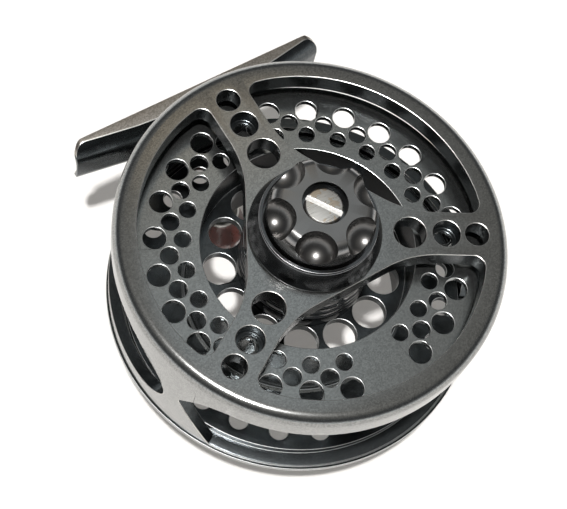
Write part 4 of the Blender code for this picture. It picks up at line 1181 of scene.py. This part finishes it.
# %% Handle: red-brown wood
WOOD_SCALE = (900.0, 900.0, 90.0)
WOOD_DEPTH = 0.05 * MM
wood = Finish("polished_red_wood", 0.28, 0.0)
sockets = {"Vector": wood.place, "Scale": WOOD_SCALE}
stretched = wood.node("ShaderNodeMapping", {}, sockets)
grain = wood.noise(1.0, 5.0, stretched)
pores = wood.noise(3.0, 2.0, stretched) > 0.66
tone = wood.mix(grain, (0.05, 0.008, 0.006), (0.16, 0.034, 0.022))
wood.set("Base Color", wood.mix(pores * 0.5, tone, (0.02, 0.005, 0.004)))
wood.set("Roughness", 0.22 + grain * 0.14)
wood.set("Coat Weight", 0.4)
wood.bump(grain - pores * 0.3, 0.12, WOOD_DEPTH)
print("wood:", wood.material.name)

# %% Handle: grip
HANDLE_PLACE = at(HANDLE_CIRCLE, HANDLE_ANGLE)
handle_low, handle_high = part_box("handle_knob")
HANDLE_TOP = handle_high.z - AXIS.z
HANDLE_END = handle_low.z - AXIS.z
HANDLE_BORE = 2.1 * MM
HANDLE_NECK = 4.8 * MM
HANDLE_RADIUS = 7.5 * MM
HANDLE_SWELL = 8.4 * MM
END_ROUND = 1.6 * MM
END_RECESS = 3.5 * MM
RECESS_DEPTH = 1.9 * MM
GRIP_EASE = 0.2 * MM
post_end = HANDLE_END + RECESS_DEPTH
section = [(HANDLE_BORE, HANDLE_TOP)]
for i in range(17):
    share = i / 16
    swell = share * share * (3 - 2 * share)
    section.append((between(HANDLE_NECK, HANDLE_RADIUS, swell), HANDLE_TOP - HANDLE_SWELL * share))
for i in range(1, 9):
    lean = math.radians(90.0 * i / 8)
    radius = HANDLE_RADIUS - END_ROUND * (1 - math.cos(lean))
    section.append((radius, HANDLE_END + END_ROUND * (1 - math.sin(lean))))
section += [(END_RECESS, HANDLE_END), (END_RECESS, post_end), (HANDLE_BORE, post_end)]
grip = turn("grip", section, 96, HANDLE_PLACE)
ease_edges(grip, GRIP_EASE, wood.material, wood.material)
stand_for(grip, "handle_knob", "handle")

# %% Handle: ferrule
ferrule_low, ferrule_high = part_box("handle_ferrule")
FERRULE_TOP = ferrule_high.z - AXIS.z
FERRULE_END = ferrule_low.z - AXIS.z
FERRULE = 5.0 * MM
FERRULE_BEVEL = 0.6 * MM
section = [
    (HANDLE_BORE, FERRULE_TOP),
    (FERRULE - FERRULE_BEVEL, FERRULE_TOP),
    (FERRULE, FERRULE_TOP - FERRULE_BEVEL),
    (FERRULE, FERRULE_END),
    (HANDLE_BORE, FERRULE_END),
]
ferrule = turn("ferrule", section, 96, HANDLE_PLACE)
ease_edges(ferrule, SMALL_EASE, steel, steel)
stand_for(ferrule, "handle_ferrule", "handle")

# %% [markdown]
# The post stands on the spool and the handle turns on it. A slotted screw in the post's end keeps
# the handle on. The spool itself is held by a black cap with two holes for a pin spanner.

# %% Post and handle screw
POST = 1.8 * MM
POST_COLLAR = 3.4 * MM
COLLAR_HEIGHT = 2.0 * MM
BOLT_HOLE = 1.1 * MM
BOLT_HOLE_END = post_end + 3.0 * MM
post_top = FRONT_TOP - FIT
collar_top = FRONT_FACE - FIT
section = [
    (0.0, post_top),
    (POST, post_top),
    (POST, collar_top),
    (POST_COLLAR, collar_top),
    (POST_COLLAR, collar_top - COLLAR_HEIGHT),
    (POST, collar_top - COLLAR_HEIGHT),
    (POST, post_end),
    (BOLT_HOLE, post_end),
    (BOLT_HOLE, BOLT_HOLE_END),
    (0.0, BOLT_HOLE_END),
]
post = turn("post", section, 64, HANDLE_PLACE)
ease_edges(post, SMALL_EASE, steel, steel)
stand_for(post, "handle_post", "spool")

BOLT_END = HANDLE_END + 0.4 * MM
BOLT_UNDER = BOLT_END + 1.2 * MM
BOLT_TIP = BOLT_END + 4.2 * MM
BOLT_HEAD = 3.2 * MM
BOLT_BEVEL = (0.4 * MM, -0.3 * MM)
BOLT_SHANK = 0.8 * MM
BOLT_SLOT = 0.8 * MM
BOLT_SLOT_DEPTH = 0.5 * MM
BOLT_SLOT_ANGLE = 20.0
BOLT_EASE = 0.08 * MM
section = screw_section(BOLT_END, BOLT_HEAD, BOLT_BEVEL, BOLT_UNDER, BOLT_SHANK, BOLT_TIP)
handle_bolt = turn("handle_bolt", section, 64, HANDLE_PLACE)
bolt_face = HANDLE_PLACE + Vector((0.0, 0.0, BOLT_END))
slot_head(handle_bolt, bolt_face, BOLT_SLOT, BOLT_SLOT_DEPTH, BOLT_SLOT_ANGLE)
ease_edges(handle_bolt, BOLT_EASE, steel, steel)
stand_for(handle_bolt, "handle_screw", "spool")

# %% Spool cap
CAP_RADIUS = 6.5 * MM
CAP_TOP = -33.3 * MM
CAP_END = -35.0 * MM
CAP_BEVEL = 0.5 * MM
STEM_TOP = -28.3 * MM
LIP_RADIUS = 5.0 * MM
LIP_TOP = -31.8 * MM
DIMPLE = 2.2 * MM
DIMPLE_DEPTH = 0.3 * MM
PIN_CIRCLE = 4.2 * MM
PIN_HOLE = 0.7 * MM
PIN_DEPTH = 0.9 * MM
PIN_ANGLES = (40.0, 220.0)
section = [
    (0.0, STEM_TOP),
    (SHANK, STEM_TOP),
    (SHANK, CAP_TOP),
    (SPINDLE_HOLE, CAP_TOP),
    (SPINDLE_HOLE, LIP_TOP),
    (LIP_RADIUS, LIP_TOP),
    (LIP_RADIUS, CAP_TOP),
    (CAP_RADIUS, CAP_TOP),
    (CAP_RADIUS, CAP_END + CAP_BEVEL),
    (CAP_RADIUS - CAP_BEVEL, CAP_END),
    (DIMPLE, CAP_END),
    (DIMPLE - DIMPLE_DEPTH, CAP_END + DIMPLE_DEPTH),
    (0.0, CAP_END + DIMPLE_DEPTH),
]
cap = turn("cap", section, 96)
pins = []
for degrees in PIN_ANGLES:
    pins.append((at(PIN_CIRCLE, degrees), PIN_HOLE, CAP_END + PIN_DEPTH, CAP_END - OVER))
drill(cap, pins, 24)
ease_edges(cap, SMALL_EASE, black_metal, black_edge)
stand_for(cap, "spool_cap", "frame")

# %% [markdown]
# ## The rest of the pieces
# What is left is small or hidden: screws, discs, spring, bearing and clutch. Their solids are right
# as they are, so they only get finishes.

# %% Finishes for the solids that stay
WEAVE_SCALE = 2600.0
WEAVE_DEPTH = 0.05 * MM
WIRE_PITCH = 0.5 * MM
friction = Finish("carbon_disc", 0.7, 0.0)
weave = friction.noise(WEAVE_SCALE, 2.0)
friction.set("Base Color", friction.mix(weave, (0.016, 0.016, 0.017), (0.05, 0.05, 0.052)))
friction.bump(weave, 0.3, WEAVE_DEPTH)
spring_steel = lathe_turned("spring_steel", (0.34, 0.35, 0.36), (0.46, 0.47, 0.48), 0.3, WIRE_PITCH)
by_slot = {
    "steel": steel,
    "brass": brass,
    "friction": friction.material,
    "spring_steel": spring_steel,
    "black_metal": black_metal,
}
for entry in frame["record"]["subparts"]:
    finish = by_slot.get(entry["material_slot"])
    if finish:
        nodes[entry["node"]].material_slots[0].material = finish
print("finishes given to the solids that stay")

# %% [markdown]
# The drag spring is pressed as the nut comes down, so a rigid copy would cut into the nut. Its solid
# is copied and welded.

# %% Drag spring
ROUND_WIRE = 60.0
spring_low, spring_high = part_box("drag_spring")
travels = {joint["name"]: joint.get("range_m") for joint in frame["record"]["behaviour"]["joints"]}
press = travels["drag_nut_slide"][1] / (spring_high.z - spring_low.z)
spring = bpy.data.objects.new("spring", nodes["drag_spring"].data.copy())
bpy.context.collection.objects.link(spring)
make_active(spring)
bpy.ops.object.mode_set(mode="EDIT")
close_mesh()
bpy.ops.object.shade_smooth_by_angle(angle=math.radians(ROUND_WIRE))
spring.data.materials.clear()
spring.data.materials.append(spring_steel)
stand_for(spring, "drag_spring", "frame")
1 - press
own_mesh(spring)
print("spring keeps", round(1 - press, 3), "of its length")

# %% [markdown]
# ## Table and light
# The reel lies on a plain white table. Satin metal is a blurred mirror, so most of its look is what
# stands round it: a white table and horizon for the skirt, gloomy walls for the dark band along the
# shoulder, and a ceiling with one cool window and one warm one for the faces that look up. The key
# is a small sun, high and a little to the left. It gives the bright line along the shoulder and the
# narrow shadow. The table glows a little for the camera and in reflections, but lights nothing.

# %% Table
TABLE_SIZE = 4.0
FIBRE_SCALE = 900.0
GLOW = 0.15
WARM_WHITE = (1.0, 0.95, 0.9, 1.0)
start_fresh()
bpy.ops.mesh.primitive_plane_add(size=TABLE_SIZE, location=(AXIS.x, AXIS.y, FLOOR))
table = bpy.context.object
table.name = "table"
paper = Finish("white_table", 0.9, 0.0)
fibre = paper.noise(FIBRE_SCALE, 2.0)
paper.set("Base Color", paper.mix(fibre, (0.92, 0.9, 0.88), (0.96, 0.945, 0.93)))
rays = ("Is Camera Ray", "Is Glossy Ray", "Is Transmission Ray")
seen = sum(paper.node("ShaderNodeLightPath", output=ray) for ray in rays)
glow = paper.node("ShaderNodeEmission", {}, {"Color": WARM_WHITE, "Strength": 1.0})
lit = Wire(paper, paper.shader.outputs[0])
both = paper.node("ShaderNodeMixShader", {}, {0: seen * GLOW, 1: lit, 2: glow})
paper.plug(paper.tree.nodes["Material Output"].inputs["Surface"], both)
table.data.materials.append(paper.material)
print("table", TABLE_SIZE, "m wide at", round(FLOOR, 4))

# %% Sky
studio = bpy.data.worlds.new("studio")
bpy.context.scene.world = studio
studio.use_nodes = True
sky = Web(studio.node_tree)
HORIZON = (0.93, 0.98, 1.0)
WALLS = (0.5, 0.5, 0.49)
GLOOM = (0.1, 0.104, 0.107)
CEILING = (0.23, 0.228, 0.216)
direction = sky.node("ShaderNodeTexCoord", output="Generated")
height = sky.node("ShaderNodeSeparateXYZ", {}, {0: direction}, "Z")
stops = ((0.0, HORIZON), (0.07, HORIZON), (0.15, WALLS), (0.3, GLOOM), (0.6, GLOOM), (0.82, CEILING))
background = sky.tree.nodes["Background"]
sky.plug(background.inputs["Color"], sky.node("ShaderNodeValToRGB", {"stops": stops}, {0: height}))
background.inputs["Strength"].default_value = 1.0
print("sky from white at the horizon to", CEILING)


# %% Lamps
def lamp(kind, name, place, power, colour):
    start_fresh()
    bpy.ops.object.light_add(type=kind, location=place)
    light = bpy.context.object
    light.name = name
    light.data.energy = power
    light.data.color = colour
    aim = AXIS - Vector(place)
    light.rotation_euler = aim.to_track_quat("-Z", "Y").to_euler()
    return light.data


def window(name, place, size, power, colour):
    pane = lamp("AREA", name, place, power, colour)
    pane.shape = "RECTANGLE"
    pane.size, pane.size_y = size


SUN_WIDTH = 3.5
sun = lamp("SUN", "key", place=(-0.17, -0.12, 0.92), power=3.3, colour=(1.0, 0.99, 0.975))
sun.angle = math.radians(SUN_WIDTH)
window("cool_window", place=(0.25, 0.17, 0.9), size=(0.22, 0.36), power=0.09, colour=(0.8, 0.93, 1.0))
window("warm_window", place=(0.3, 0.4, 0.9), size=(0.22, 0.14), power=0.03, colour=(1.0, 0.74, 0.42))
print("lamps placed")
